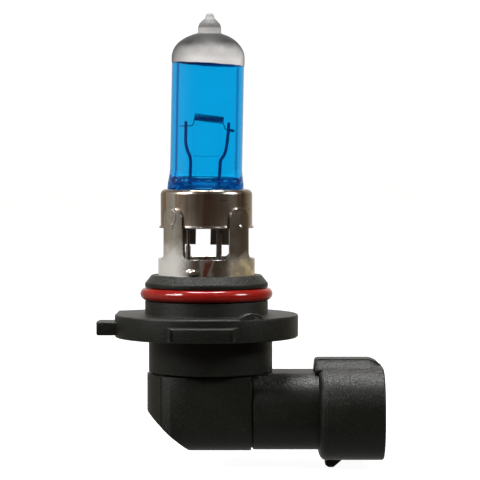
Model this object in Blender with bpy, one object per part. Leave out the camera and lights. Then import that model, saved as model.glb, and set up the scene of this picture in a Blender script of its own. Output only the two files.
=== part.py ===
"""Right-angle headlight bulb on a prefocus bayonet base, as an assembly of separate pieces.

The origin is on the bulb's axis, in the top face of the flange.  +Z runs up to the glass
tip, +X runs out of the connector's mouth, and -Y is the side with the wide front lug.
Every length below is written in millimetres times MM, so the model itself is in metres.
"""

import math

import bmesh
import bpy

MM = 0.001

# ---- Clearances between neighbouring pieces ----
METAL_GAP = 0.10 * MM
MOULDED_GAP = 0.30 * MM
SEAM_GAP = 0.02 * MM

# ---- Base: neck, groove, flange and lugs ----
NECK_RADIUS = 9.96 * MM
NECK_TOP = 6.35 * MM
NECK_CHAMFER_RADIAL = 0.92 * MM
NECK_CHAMFER_HEIGHT = 1.28 * MM
FLANGE_RADIUS = 14.86 * MM
FLANGE_THICKNESS = 3.70 * MM
FLANGE_EDGE = 0.30 * MM
FLANGE_CORNER_REACH = 14.80 * MM
FLANGE_CORNER_LENGTH = 8.10 * MM
FLANGE_CORNER_END = 4.60 * MM
FLANGE_CORNER_DROP = 2.70 * MM
LUG_RADIUS = 17.85 * MM
LUG_TOP = -1.20 * MM
LUG_THICKNESS = 2.10 * MM
# Each lug: azimuth in degrees, width at the tip, width at the root.
LUGS = (
    (180.0, 6.40 * MM, 6.40 * MM),
    (268.4, 9.85 * MM, 11.80 * MM),
    (50.0, 6.40 * MM, 6.40 * MM),
)
PIP_AZIMUTH = 299.7
PIP_LENGTH = 4.40 * MM
PIP_HEIGHT = 0.90 * MM
PIP_DEPTH = 1.00 * MM

# ---- Sealing ring ----
SEAL_SECTION = 2.00 * MM
SEAL_OUTER_RADIUS = 10.72 * MM
SEAL_CENTRE_Z = 3.29 * MM

# ---- Base: elbow and connector socket ----
STUB_RADIUS = 10.02 * MM
STUB_OFFSET = 0.66 * MM
STUB_BOTTOM = -9.30 * MM
ELBOW_CENTRE_Z = -15.45 * MM
ELBOW_HALF_HEIGHT = 6.15 * MM
ELBOW_HALF_WIDTH = 8.50 * MM
ELBOW_CORNER = 5.00 * MM
ELBOW_START = 7.45 * MM
ELBOW_SEAM_DEPTH = 0.30 * MM
SOCKET_START = 18.00 * MM
SOCKET_SHOULDER = 1.15 * MM
SOCKET_MOUTH = 28.50 * MM
SOCKET_CENTRE_Z = -15.83 * MM
SOCKET_HALF_HEIGHT = 7.43 * MM
SOCKET_HALF_WIDTH = 10.00 * MM
SOCKET_CORNER = 6.40 * MM
SOCKET_WALL = 1.40 * MM
SOCKET_FLOOR = 19.80 * MM
RIB_HALF_WIDTH = 2.20 * MM
RIB_TOP_Z = -7.20 * MM
RIB_START = 17.40 * MM
RIB_SLOPE_START = 26.40 * MM
RIB_END = 28.30 * MM
RIB_BASE_HALF_WIDTH = 5.20 * MM
RIB_ROOT_DEPTH = 1.20 * MM
LATCH_HALF_WIDTH = 2.00 * MM
LATCH_START = 19.20 * MM
LATCH_PEAK = 20.70 * MM
LATCH_END = 22.10 * MM
LATCH_DEPTH = 1.48 * MM

# ---- Core of the elbow, inside the rear cover ----
CORE_START = 3.40 * MM
CORE_HALF_WIDTH = 6.20 * MM
CORE_BOTTOM = -18.60 * MM
CORE_BRIDGE_END = 10.00 * MM

# ---- Rear cover ----
COVER_REACH = 9.62 * MM
COVER_RIGHT = 7.20 * MM
COVER_TOP = STUB_BOTTOM - MOULDED_GAP
COVER_PROUD = 0.15 * MM
COVER_BOTTOM = ELBOW_CENTRE_Z - ELBOW_HALF_HEIGHT - COVER_PROUD
COVER_HALF_WIDTH = 8.60 * MM
COVER_WALL = 1.20 * MM
COVER_CORNER = 5.10 * MM
COVER_CHAMFER_WIDTH = 7.05 * MM
COVER_CHAMFER_HEIGHT = 6.25 * MM

# ---- Insert and sealing compound in the neck ----
BORE_RADIUS = 5.60 * MM
BORE_BOTTOM = STUB_BOTTOM - 0.80 * MM
CARRIER_TOP = 4.30 * MM
CARRIER_BLOCK_START = 3.62 * MM - COVER_REACH
CARRIER_BLOCK_HALF_WIDTH = 5.40 * MM
CARRIER_BLOCK_BOTTOM = -16.70 * MM
SEAL_PLUG_TOP = 5.70 * MM

# ---- Contacts ----
BLADE_WIDTH = 2.80 * MM
BLADE_THICKNESS = 0.80 * MM
BLADE_SPACING = 6.20 * MM
BLADE_Z = -15.50 * MM
BLADE_RECESS = 1.70 * MM
BLADE_TIP = 0.60 * MM
# Each contact: side of the blade, post centre in X, post from and to in Y, post top.
CONTACTS = {
    "contact_right": (-1, 2.08 * MM, -2.40 * MM, -0.40 * MM, 13.10 * MM),
    "contact_left": (1, -3.00 * MM, 0.40 * MM, 1.70 * MM, 11.20 * MM),
}

# ---- Steel mounting ring and its four arms ----
RING_OUTER_RADIUS = 7.84 * MM
RING_WALL = 0.34 * MM
RING_BOTTOM = 4.60 * MM
RING_BAND_TOP = 9.05 * MM
ARM_TOP = 17.30 * MM
ARM_HALF_WIDTH = 2.10 * MM
ARM_TOP_CORNER = 1.90 * MM
ARM_ROOT_FILLET = 1.00 * MM
ARM_FIRST_AZIMUTH = 45.0
ARM_COUNT = 4

# ---- Steel collar round the pinch ----
COLLAR_BOTTOM = 13.95 * MM
COLLAR_TOP = 20.20 * MM
COLLAR_OUTER_RADIUS = RING_OUTER_RADIUS - RING_WALL - 0.08 * MM
COLLAR_WALL = 0.35 * MM
COLLAR_SHOULDER = 0.85 * MM
COLLAR_HOLE_RADIUS = COLLAR_OUTER_RADIUS - 0.87 * MM
BRIM_RADIUS = COLLAR_OUTER_RADIUS + 0.23 * MM
BRIM_HEIGHT = 0.30 * MM

# ---- Quartz capsule ----
LIGHT_CENTRE_Z = 31.50 * MM
CAPSULE_LEAN = 1.08
TUBE_RADIUS = 5.75 * MM
TUBE_WALL = 0.85 * MM
DOME_CENTRE_Z = 41.44 * MM
DOME_HEIGHT = 4.05 * MM
DOME_WALL = 0.95 * MM
TIP_OFFSET = 0.15 * MM
TIP_RADIUS = 1.81 * MM
TIP_SHOULDER_Z = 46.40 * MM
TIP_TOP_Z = 48.70 * MM
PINCH_BOTTOM = 14.60 * MM
PINCH_HALF_WIDTH = COLLAR_HOLE_RADIUS - 0.70 * MM
PINCH_HALF_THICKNESS = 1.75 * MM
PINCH_TOP = 19.30 * MM
FLARE_HALF_WIDTH = COLLAR_HOLE_RADIUS - 0.38 * MM
FLARE_Z = 20.40 * MM
FULL_DEPTH_Z = 21.60 * MM
ROUND_Z = 23.60 * MM
CAVITY_BOTTOM = 20.90 * MM
CAVITY_ROUND_Z = 22.40 * MM

# ---- Wires and foils in the capsule ----
LEAD_DIAMETER = 0.52 * MM
OUTER_LEAD_DIAMETER = 0.50 * MM
OUTER_LEAD_BOTTOM = 7.50 * MM
FOIL_WIDTH = 1.90 * MM
FOIL_THICKNESS = 0.12 * MM
FOIL_BOTTOM = 16.20 * MM
FOIL_TOP = 19.60 * MM
LEFT_FOIL_X = -2.60 * MM
RIGHT_FOIL_X = 2.22 * MM

# ---- Filament ----
COIL_DIAMETER = 1.26 * MM
COIL_WIRE = 0.26 * MM
COIL_TURNS = 9
COIL_START = (-2.06 * MM, 31.85 * MM)
COIL_END = (2.66 * MM, 31.36 * MM)
TAIL_Y = -(LEAD_DIAMETER + COIL_WIRE) / 2.0 - METAL_GAP
# Each tail passes its lead by a share of the room between the lead and the bore's wall.
LEFT_LEAD_TOP_X = -3.42 * MM
RIGHT_LEAD_TOP_X = 3.48 * MM
LEFT_TAIL_SHARE = 0.66
RIGHT_TAIL_SHARE = 0.458

# ---- Clip on the pinch ----
CLIP_THICKNESS = 0.30 * MM
CLIP_BOTTOM = 14.30 * MM
CLIP_TOP = 19.30 * MM
CLIP_LIP = 1.40 * MM
CLIP_LEG_BOTTOM = 11.15 * MM
CLIP_LEGS = ((-4.65 * MM, -1.40 * MM), (0.97 * MM, 5.35 * MM))

# ---- How finely round shapes are divided ----
ROUND_STEPS = 48
GLASS_STEPS = 32
CORNER_STEPS = 5


# ---------------------------------------------------------------- scene and materials

def clear_scene():
    """Remove every object, so the script starts from an empty scene."""
    for item in list(bpy.data.objects):
        bpy.data.objects.remove(item, do_unlink=True)


def material(name, colour, roughness, metallic=0.0, transmission=0.0):
    """A plain Principled material."""
    made = bpy.data.materials.new(name)
    made.use_nodes = True
    shader = made.node_tree.nodes["Principled BSDF"]
    shader.inputs["Base Color"].default_value = (*colour, 1.0)
    shader.inputs["Roughness"].default_value = roughness
    shader.inputs["Metallic"].default_value = metallic
    shader.inputs["Transmission Weight"].default_value = transmission
    made.diffuse_color = (*colour, 1.0)
    return made


def make_materials():
    """Every finish on the bulb, by name."""
    return {
        "quartz": material("blue_quartz", (0.10, 0.45, 0.85), 0.03, 0.0, 0.9),
        "tungsten": material("tungsten", (0.35, 0.34, 0.33), 0.40, 1.0),
        "nickel": material("nickel_wire", (0.62, 0.60, 0.57), 0.28, 1.0),
        "foil": material("molybdenum_foil", (0.55, 0.55, 0.56), 0.30, 1.0),
        "steel": material("pressed_steel", (0.60, 0.58, 0.55), 0.25, 1.0),
        "spring": material("spring_steel", (0.48, 0.46, 0.43), 0.32, 1.0),
        "contact": material("tinned_contact", (0.70, 0.69, 0.66), 0.30, 1.0),
        "moulding": material("black_moulding", (0.03, 0.032, 0.035), 0.55),
        "insert": material("insert_moulding", (0.05, 0.05, 0.05), 0.60),
        "compound": material("sealing_compound", (0.10, 0.09, 0.08), 0.45),
        "silicone": material("red_silicone", (0.62, 0.03, 0.02), 0.30),
    }


# ---------------------------------------------------------------- mesh helpers

def add_object(name, mesh, finish=None, parent=None):
    """Link a mesh as a named object; a parented piece keeps its upright coordinates."""
    item = bpy.data.objects.new(name, mesh)
    bpy.context.scene.collection.objects.link(item)
    if finish is not None:
        mesh.materials.append(finish)
    if parent is not None:
        item.parent = parent
        item.location = (-parent.location.x, -parent.location.y, -parent.location.z)
    return item


def finish_shape(name, shape):
    """Turn a closed bmesh into a mesh with outward faces and smooth round surfaces."""
    bmesh.ops.recalc_face_normals(shape, faces=shape.faces)
    mesh = bpy.data.meshes.new(name)
    shape.to_mesh(mesh)
    shape.free()
    mesh.shade_smooth()
    mesh.set_sharp_from_angle(angle=math.radians(35.0))
    return mesh


def guide(item):
    """Mark an object as a construction guide, which is not a piece of the bulb."""
    item.hide_render = True
    item.display_type = "WIRE"
    return item


def combine(target, other, operation):
    """Add, cut or intersect the guide `other` with `target` by an exact Boolean."""
    step = target.modifiers.new(operation.lower() + " " + other.name, "BOOLEAN")
    step.operation = operation
    step.solver = "EXACT"
    step.object = guide(other)


def loft(name, rings):
    """A closed skin over rings of equal point counts, with a flat face on each end."""
    shape = bmesh.new()
    loops = [[shape.verts.new(point) for point in ring] for ring in rings]
    count = len(rings[0])
    for lower, upper in zip(loops, loops[1:]):
        for index in range(count):
            after = (index + 1) % count
            shape.faces.new((lower[index], lower[after], upper[after], upper[index]))
    shape.faces.new(loops[0])
    shape.faces.new(loops[-1])
    return finish_shape(name, shape)


def prism(name, outline, axis, low, high):
    """Extrude a closed 2-D outline along X, Y or Z between two heights."""
    order = {"X": (2, 0, 1), "Y": (0, 2, 1), "Z": (0, 1, 2)}[axis]

    def place(point, height):
        values = (point[0], point[1], height)
        return tuple(values[index] for index in order)

    return loft(name, [[place(p, low) for p in outline], [place(p, high) for p in outline]])


def box(name, x_range, y_range, z_range):
    """A rectangular block between three pairs of limits."""
    outline = [
        (x_range[0], y_range[0]),
        (x_range[1], y_range[0]),
        (x_range[1], y_range[1]),
        (x_range[0], y_range[1]),
    ]
    return prism(name, outline, "Z", z_range[0], z_range[1])


def turned(name, profile, centre_x=0.0, steps=ROUND_STEPS):
    """Spin a closed (radius, z) profile about the upright axis at centre_x."""
    shape = bmesh.new()
    points = [shape.verts.new((centre_x + radius, 0.0, z)) for radius, z in profile]
    edges = [shape.edges.new(pair) for pair in zip(points, points[1:] + points[:1])]
    bmesh.ops.spin(
        shape,
        geom=points + edges,
        cent=(centre_x, 0.0, 0.0),
        axis=(0.0, 0.0, 1.0),
        angle=2.0 * math.pi,
        steps=steps,
        use_merge=True,
    )
    bmesh.ops.remove_doubles(shape, verts=shape.verts, dist=0.0005 * MM)
    return finish_shape(name, shape)


def cylinder_profile(radius, low, high):
    """The closed profile of a plain cylinder that reaches the axis."""
    return [(0.0, low), (radius, low), (radius, high), (0.0, high)]


def arc(centre, radius, start, end, steps):
    """Points on a circular arc, its two ends included; angles in degrees."""
    points = []
    for index in range(steps + 1):
        angle = math.radians(start + (end - start) * index / steps)
        points.append((centre[0] + radius * math.cos(angle), centre[1] + radius * math.sin(angle)))
    return points


def rounded_rectangle(half_a, half_b, corner, centre=(0.0, 0.0)):
    """The outline of a rectangle with four round corners, anticlockwise."""
    outline = []
    for quarter, (side_a, side_b) in enumerate(((1, 1), (-1, 1), (-1, -1), (1, -1))):
        middle = (centre[0] + side_a * (half_a - corner), centre[1] + side_b * (half_b - corner))
        outline += arc(middle, corner, 90.0 * quarter, 90.0 * quarter + 90.0, CORNER_STEPS)
    return outline


def turn_outline(outline, azimuth):
    """Turn a plan outline about the axis by an azimuth in degrees."""
    cosine = math.cos(math.radians(azimuth))
    sine = math.sin(math.radians(azimuth))
    return [(x * cosine - y * sine, x * sine + y * cosine) for x, y in outline]


def wire(name, points, diameter, finish, parent, resolution=2):
    """A round wire along straight runs between points, with closed ends."""
    route = bpy.data.curves.new(name, "CURVE")
    route.dimensions = "3D"
    route.bevel_depth = diameter / 2.0
    route.bevel_resolution = resolution
    route.use_fill_caps = True
    spline = route.splines.new("POLY")
    spline.points.add(len(points) - 1)
    for slot, point in zip(spline.points, points):
        slot.co = (*point, 1.0)
    return add_object(name, route, finish, parent)


def smooth_route(knots, per_span=4):
    """A Catmull-Rom curve through the knots, as a list of points."""
    padded = [knots[0], *knots, knots[-1]]
    points = [knots[0]]
    for index in range(len(knots) - 1):
        p0, p1, p2, p3 = padded[index:index + 4]
        for step in range(1, per_span + 1):
            t = step / per_span
            points.append(tuple(
                0.5 * (2 * b + (c - a) * t + (2 * a - 5 * b + 4 * c - d) * t * t
                       + (3 * b - a - 3 * c + d) * t ** 3)
                for a, b, c, d in zip(p0, p1, p2, p3)
            ))
    return points


def blend(low, high, share):
    """Ease from low to high as share runs from 0 to 1."""
    share = min(max(share, 0.0), 1.0)
    return low + (high - low) * share * share * (3.0 - 2.0 * share)


def squircle(half_x, half_y, power, z, centre_x=0.0, steps=GLASS_STEPS):
    """A closed ring between an ellipse (power 2) and a rectangle (high power)."""
    ring = []
    for index in range(steps):
        angle = 2.0 * math.pi * (index + 0.5) / steps
        cosine = math.cos(angle)
        sine = math.sin(angle)
        x = math.copysign(abs(cosine) ** (2.0 / power), cosine) * half_x
        y = math.copysign(abs(sine) ** (2.0 / power), sine) * half_y
        ring.append((centre_x + x, y, z))
    return ring


# ---------------------------------------------------------------- quartz capsule

def make_capsule_frame():
    """The empty that carries the capsule and leans it about the light centre."""
    frame = bpy.data.objects.new("capsule_frame", None)
    bpy.context.scene.collection.objects.link(frame)
    frame.location = (0.0, 0.0, LIGHT_CENTRE_Z)
    frame.rotation_euler = (0.0, math.radians(CAPSULE_LEAN), 0.0)
    return frame


def dome_radius(z):
    """Outer radius of the dome, a half-ellipse on top of the tube."""
    share = min(max((z - DOME_CENTRE_Z) / DOME_HEIGHT, 0.0), 1.0)
    return TUBE_RADIUS * math.sqrt(1.0 - share * share)


def glass_outer_rings():
    """Sections of the capsule from the flat pinch to the nipple of the exhaust tip."""
    rings = [squircle(PINCH_HALF_WIDTH, PINCH_HALF_THICKNESS * 0.9, 6.0, PINCH_BOTTOM)]
    rings.append(squircle(PINCH_HALF_WIDTH, PINCH_HALF_THICKNESS, 6.0, PINCH_BOTTOM + 0.4 * MM))
    rings.append(squircle(PINCH_HALF_WIDTH, PINCH_HALF_THICKNESS, 6.0, PINCH_TOP))
    # The pinch widens to the flare, and reaches its full depth well before its round tube.
    flare_steps = 9
    for index in range(1, flare_steps + 1):
        z = PINCH_TOP + (ROUND_Z - PINCH_TOP) * index / flare_steps
        widen = (z - PINCH_TOP) / (FLARE_Z - PINCH_TOP)
        deepen = (z - PINCH_TOP) / (FULL_DEPTH_Z - PINCH_TOP)
        half_x = blend(PINCH_HALF_WIDTH, FLARE_HALF_WIDTH, widen)
        half_x += blend(0.0, TUBE_RADIUS - FLARE_HALF_WIDTH, (z - FLARE_Z) / (ROUND_Z - FLARE_Z))
        half_y = blend(PINCH_HALF_THICKNESS, TUBE_RADIUS, deepen)
        rings.append(squircle(half_x, half_y, blend(6.0, 2.0, widen), z))
    tip_meets_dome = DOME_CENTRE_Z + DOME_HEIGHT * math.sqrt(1.0 - (TIP_RADIUS / TUBE_RADIUS) ** 2)
    dome_steps = 7
    for index in range(dome_steps):
        lift = math.sin(0.5 * math.pi * index / dome_steps)
        z = DOME_CENTRE_Z + (tip_meets_dome - DOME_CENTRE_Z) * lift
        offset = TIP_OFFSET * lift ** 4
        rings.append(squircle(dome_radius(z), dome_radius(z), 2.0, z, offset))
    for z in (tip_meets_dome + 0.15 * MM, TIP_SHOULDER_Z):
        rings.append(squircle(TIP_RADIUS, TIP_RADIUS, 2.0, z, TIP_OFFSET))
    # The nipple: a rounded shoulder that draws in to a small blunt point.
    height = TIP_TOP_Z - TIP_SHOULDER_Z
    for share, width in ((0.22, 0.90), (0.43, 0.61), (0.60, 0.42), (0.82, 0.34), (1.0, 0.15)):
        radius = TIP_RADIUS * width
        rings.append(squircle(radius, radius, 2.0, TIP_SHOULDER_Z + height * share, TIP_OFFSET))
    return rings


def cavity_rings():
    """Sections of the gas space, a wall's thickness inside the capsule."""
    radius = TUBE_RADIUS - TUBE_WALL
    rings = []
    floor_steps = 4
    for index in range(floor_steps + 1):
        share = index / floor_steps
        z = CAVITY_BOTTOM + (CAVITY_ROUND_Z - CAVITY_BOTTOM) * share
        half_x = blend(radius * 0.74, radius, share * 1.4)
        half_y = blend(radius * 0.22, radius, share)
        rings.append(squircle(half_x, half_y, 2.0, z, steps=GLASS_STEPS - 8))
    dome_steps = 5
    height = DOME_HEIGHT - DOME_WALL
    for index in range(dome_steps + 1):
        angle = math.radians(84.0 * index / dome_steps)
        ring_radius = radius * math.cos(angle)
        z = DOME_CENTRE_Z + height * math.sin(angle)
        rings.append(squircle(ring_radius, ring_radius, 2.0, z, steps=GLASS_STEPS - 8))
    return rings


def lead_channel(name, centre_x, diameter, low, high, frame):
    """A guide for the round channel that a wire leaves in the glass."""
    radius = diameter / 2.0 + METAL_GAP
    mesh = turned(name, cylinder_profile(radius, low, high), centre_x, 12)
    return add_object(name, mesh, parent=frame)


def foil_pocket(name, centre_x, frame):
    """A guide for the flat pocket that holds a foil in the pinch."""
    half_width = FOIL_WIDTH / 2.0 + METAL_GAP
    half_depth = FOIL_THICKNESS / 2.0 + METAL_GAP
    mesh = box(
        name,
        (centre_x - half_width, centre_x + half_width),
        (-half_depth, half_depth),
        (FOIL_BOTTOM - METAL_GAP, FOIL_TOP + METAL_GAP),
    )
    return add_object(name, mesh, parent=frame)


def make_glass_envelope(finish, frame):
    """The quartz capsule, hollow, with the wires' channels and foil pockets in its pinch."""
    glass = add_object("glass_envelope", loft("glass_envelope", glass_outer_rings()), finish, frame)
    cavity = add_object("guide_cavity", loft("guide_cavity", cavity_rings()), parent=frame)
    combine(glass, cavity, "DIFFERENCE")
    for side, centre_x in (("left", LEFT_FOIL_X), ("right", RIGHT_FOIL_X)):
        combine(glass, foil_pocket("guide_foil_" + side, centre_x, frame), "DIFFERENCE")
        inner = lead_channel(
            "guide_inner_" + side, centre_x, LEAD_DIAMETER, FOIL_TOP, CAVITY_BOTTOM + 0.6 * MM, frame
        )
        combine(glass, inner, "DIFFERENCE")
        outer = lead_channel(
            "guide_outer_" + side, centre_x, OUTER_LEAD_DIAMETER,
            PINCH_BOTTOM - 1.0 * MM, FOIL_BOTTOM, frame
        )
        combine(glass, outer, "DIFFERENCE")


def make_pinch_foils(finish, frame):
    """The two sealing foils, each between an inner and an outer lead."""
    for side, centre_x in (("left", LEFT_FOIL_X), ("right", RIGHT_FOIL_X)):
        name = "pinch_foil_" + side
        half = FOIL_WIDTH / 2.0
        mesh = box(
            name,
            (centre_x - half, centre_x + half),
            (-FOIL_THICKNESS / 2.0, FOIL_THICKNESS / 2.0),
            (FOIL_BOTTOM, FOIL_TOP),
        )
        add_object(name, mesh, finish, frame)


def make_support_leads(finish, frame):
    """The two bent leads that stand on the foils and carry the filament."""
    start = FOIL_TOP + METAL_GAP
    routes = {
        "support_lead_left": (
            (LEFT_FOIL_X, 0.0, start),
            (LEFT_FOIL_X, 0.0, CAVITY_BOTTOM),
            (-2.53 * MM, 0.0, 24.15 * MM),
            (-2.66 * MM, 0.0, 25.40 * MM),
            (-3.04 * MM, 0.0, 26.30 * MM),
            (-3.38 * MM, 0.0, 27.60 * MM),
            (-3.40 * MM, 0.0, 29.00 * MM),
            (-3.42 * MM, 0.0, 30.90 * MM),
        ),
        "support_lead_right": (
            (RIGHT_FOIL_X, 0.0, start),
            (RIGHT_FOIL_X, 0.0, CAVITY_BOTTOM),
            (2.26 * MM, 0.0, 24.35 * MM),
            (2.42 * MM, 0.0, 25.10 * MM),
            (2.86 * MM, 0.0, 25.75 * MM),
            (3.14 * MM, 0.0, 26.60 * MM),
            (3.32 * MM, 0.0, 27.80 * MM),
            (3.46 * MM, 0.0, 29.20 * MM),
            (3.53 * MM, 0.0, 30.80 * MM),
        ),
    }
    for name, knots in routes.items():
        wire(name, smooth_route(knots, 2), LEAD_DIAMETER, finish, frame)


def make_outer_leads(finish, frame):
    """The two straight wires from the foils down to the contact posts."""
    for side, centre_x in (("left", LEFT_FOIL_X), ("right", RIGHT_FOIL_X)):
        ends = ((centre_x, 0.0, FOIL_BOTTOM - METAL_GAP), (centre_x, 0.0, OUTER_LEAD_BOTTOM))
        wire("outer_lead_" + side, ends, OUTER_LEAD_DIAMETER, finish, frame)


def make_filament(finish, frame):
    """The coil, a helix about a line across the capsule, with a bent tail at each end."""
    steps_per_turn = 10
    radius = (COIL_DIAMETER - COIL_WIRE) / 2.0
    bore = TUBE_RADIUS - TUBE_WALL
    left_end = LEFT_LEAD_TOP_X - (bore + LEFT_LEAD_TOP_X) * LEFT_TAIL_SHARE
    right_end = RIGHT_LEAD_TOP_X + (bore - RIGHT_LEAD_TOP_X) * RIGHT_TAIL_SHARE
    length = math.dist(COIL_START, COIL_END)
    along = ((COIL_END[0] - COIL_START[0]) / length, (COIL_END[1] - COIL_START[1]) / length)
    points = [
        (left_end, TAIL_Y, 30.30 * MM),
        (LEFT_LEAD_TOP_X, TAIL_Y, 30.33 * MM),
        (-2.62 * MM, TAIL_Y, 30.42 * MM),
        (-2.28 * MM, TAIL_Y * 0.6, 30.80 * MM),
    ]
    count = COIL_TURNS * steps_per_turn
    for index in range(count + 1):
        share = index / count
        angle = 2.0 * math.pi * COIL_TURNS * share - math.pi / 2.0
        rise = radius * math.sin(angle)
        points.append((
            COIL_START[0] + along[0] * length * share - along[1] * rise,
            radius * math.cos(angle),
            COIL_START[1] + along[1] * length * share + along[0] * rise,
        ))
    points += [
        (2.86 * MM, TAIL_Y * 0.5, 30.45 * MM),
        (3.02 * MM, TAIL_Y, 29.95 * MM),
        (RIGHT_LEAD_TOP_X, TAIL_Y, 29.80 * MM),
        (right_end, TAIL_Y, 29.70 * MM),
    ]
    wire("filament_coil", points, COIL_WIRE, finish, frame, resolution=1)


# ---------------------------------------------------------------- steel pieces

def clip_outline():
    """Plan of the clip: a back plate, two sides and two front lips round the pinch."""
    inner_x = PINCH_HALF_WIDTH + METAL_GAP
    outer_x = inner_x + CLIP_THICKNESS
    inner_y = PINCH_HALF_THICKNESS + 2.0 * METAL_GAP
    outer_y = inner_y + CLIP_THICKNESS
    lip_x = inner_x - CLIP_LIP
    return [
        (-lip_x, -outer_y), (-lip_x, -inner_y), (-inner_x, -inner_y), (-inner_x, inner_y),
        (inner_x, inner_y), (inner_x, -inner_y), (lip_x, -inner_y), (lip_x, -outer_y),
        (outer_x, -outer_y), (outer_x, outer_y), (-outer_x, outer_y), (-outer_x, -outer_y),
    ]


def make_pinch_clip(finish, frame):
    """The spring clip that grips the pinch, with two legs below its back plate."""
    mesh = prism("pinch_clip", clip_outline(), "Z", CLIP_BOTTOM, CLIP_TOP)
    clip = add_object("pinch_clip", mesh, finish, frame)
    inner_y = PINCH_HALF_THICKNESS + 2.0 * METAL_GAP
    for index, leg in enumerate(CLIP_LEGS):
        name = "guide_clip_leg_" + str(index)
        mesh = box(
            name, leg, (inner_y, inner_y + CLIP_THICKNESS), (CLIP_LEG_BOTTOM, CLIP_BOTTOM + 0.5 * MM)
        )
        combine(clip, add_object(name, mesh, parent=frame), "UNION")


def collar_profile():
    """Section of the cup: outward brim, wall, rounded shoulder and the hole for the glass."""
    outer = COLLAR_OUTER_RADIUS
    inner = outer - COLLAR_WALL
    shoulder = (outer - COLLAR_SHOULDER, COLLAR_TOP - COLLAR_SHOULDER)
    profile = [(inner, COLLAR_BOTTOM), (BRIM_RADIUS, COLLAR_BOTTOM)]
    profile += [(BRIM_RADIUS, COLLAR_BOTTOM + BRIM_HEIGHT), (outer, COLLAR_BOTTOM + BRIM_HEIGHT)]
    profile += arc(shoulder, COLLAR_SHOULDER, 0.0, 90.0, 4)
    profile += [(COLLAR_HOLE_RADIUS, COLLAR_TOP), (COLLAR_HOLE_RADIUS, COLLAR_TOP - COLLAR_WALL)]
    profile += arc(shoulder, COLLAR_SHOULDER - COLLAR_WALL, 90.0, 0.0, 4)
    return profile


def arm_azimuths():
    """Azimuth of each arm, in degrees."""
    return [ARM_FIRST_AZIMUTH + 360.0 * index / ARM_COUNT for index in range(ARM_COUNT)]


def make_capsule_collar(finish):
    """The pressed cup, its brim notched where the arms pass."""
    collar = add_object("capsule_collar", turned("capsule_collar", collar_profile()), finish)
    half_angle = math.degrees((ARM_HALF_WIDTH + MOULDED_GAP) / COLLAR_OUTER_RADIUS)
    for index, azimuth in enumerate(arm_azimuths()):
        inner = arc((0.0, 0.0), COLLAR_OUTER_RADIUS + 0.02 * MM, -half_angle, half_angle, 4)
        outer = arc((0.0, 0.0), BRIM_RADIUS + 0.5 * MM, half_angle, -half_angle, 4)
        name = "guide_brim_notch_" + str(index)
        mesh = prism(
            name, turn_outline(inner + outer, azimuth), "Z",
            COLLAR_BOTTOM - 0.5 * MM, COLLAR_BOTTOM + BRIM_HEIGHT + 0.1 * MM
        )
        combine(collar, add_object(name, mesh), "DIFFERENCE")


def ring_edge_stations():
    """Distances from an arm's middle, along the band, with the height of the top edge."""
    stations = []
    corner_centre = ARM_HALF_WIDTH - ARM_TOP_CORNER
    for degrees in (0.0, 22.5, 45.0, 67.5, 84.0):
        angle = math.radians(degrees)
        reach = corner_centre + ARM_TOP_CORNER * math.sin(angle)
        stations.append((reach, ARM_TOP - ARM_TOP_CORNER * (1.0 - math.cos(angle))))
    stations.append((ARM_HALF_WIDTH, ARM_TOP - ARM_TOP_CORNER))
    side = 0.03 * MM
    for degrees in (0.0, 30.0, 60.0, 90.0):
        angle = math.radians(degrees)
        reach = ARM_HALF_WIDTH + side + ARM_ROOT_FILLET * (1.0 - math.cos(angle))
        stations.append((reach, RING_BAND_TOP + ARM_ROOT_FILLET * (1.0 - math.sin(angle))))
    return stations


def make_mounting_ring(finish):
    """The steel ring, its top edge rising into four round-topped arms."""
    mean_radius = RING_OUTER_RADIUS - RING_WALL / 2.0
    stations = ring_edge_stations()
    reaches = [(-reach, top) for reach, top in reversed(stations[1:])] + stations
    columns = []
    for azimuth in arm_azimuths():
        for reach, top in reaches:
            columns.append((math.radians(azimuth) + reach / mean_radius, top))
        # One plain column on each third of the gap before the next arm.
        gap_start = stations[-1][0] / mean_radius
        gap = 2.0 * math.pi / ARM_COUNT - 2.0 * gap_start
        for index in range(1, 5):
            columns.append((math.radians(azimuth) + gap_start + gap * index / 5, RING_BAND_TOP))
    sections = []
    for angle, top in columns:
        inner = RING_OUTER_RADIUS - RING_WALL
        corners = (
            (inner, RING_BOTTOM), (RING_OUTER_RADIUS, RING_BOTTOM),
            (RING_OUTER_RADIUS, top), (inner, top),
        )
        sections.append([(r * math.cos(angle), r * math.sin(angle), z) for r, z in corners])
    shape = bmesh.new()
    loops = [[shape.verts.new(point) for point in section] for section in sections]
    for here, after in zip(loops, loops[1:] + loops[:1]):
        for index in range(4):
            other = (index + 1) % 4
            shape.faces.new((here[index], after[index], after[other], here[other]))
    add_object("mounting_ring", finish_shape("mounting_ring", shape), finish)


# ---------------------------------------------------------------- contacts and insert

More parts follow.
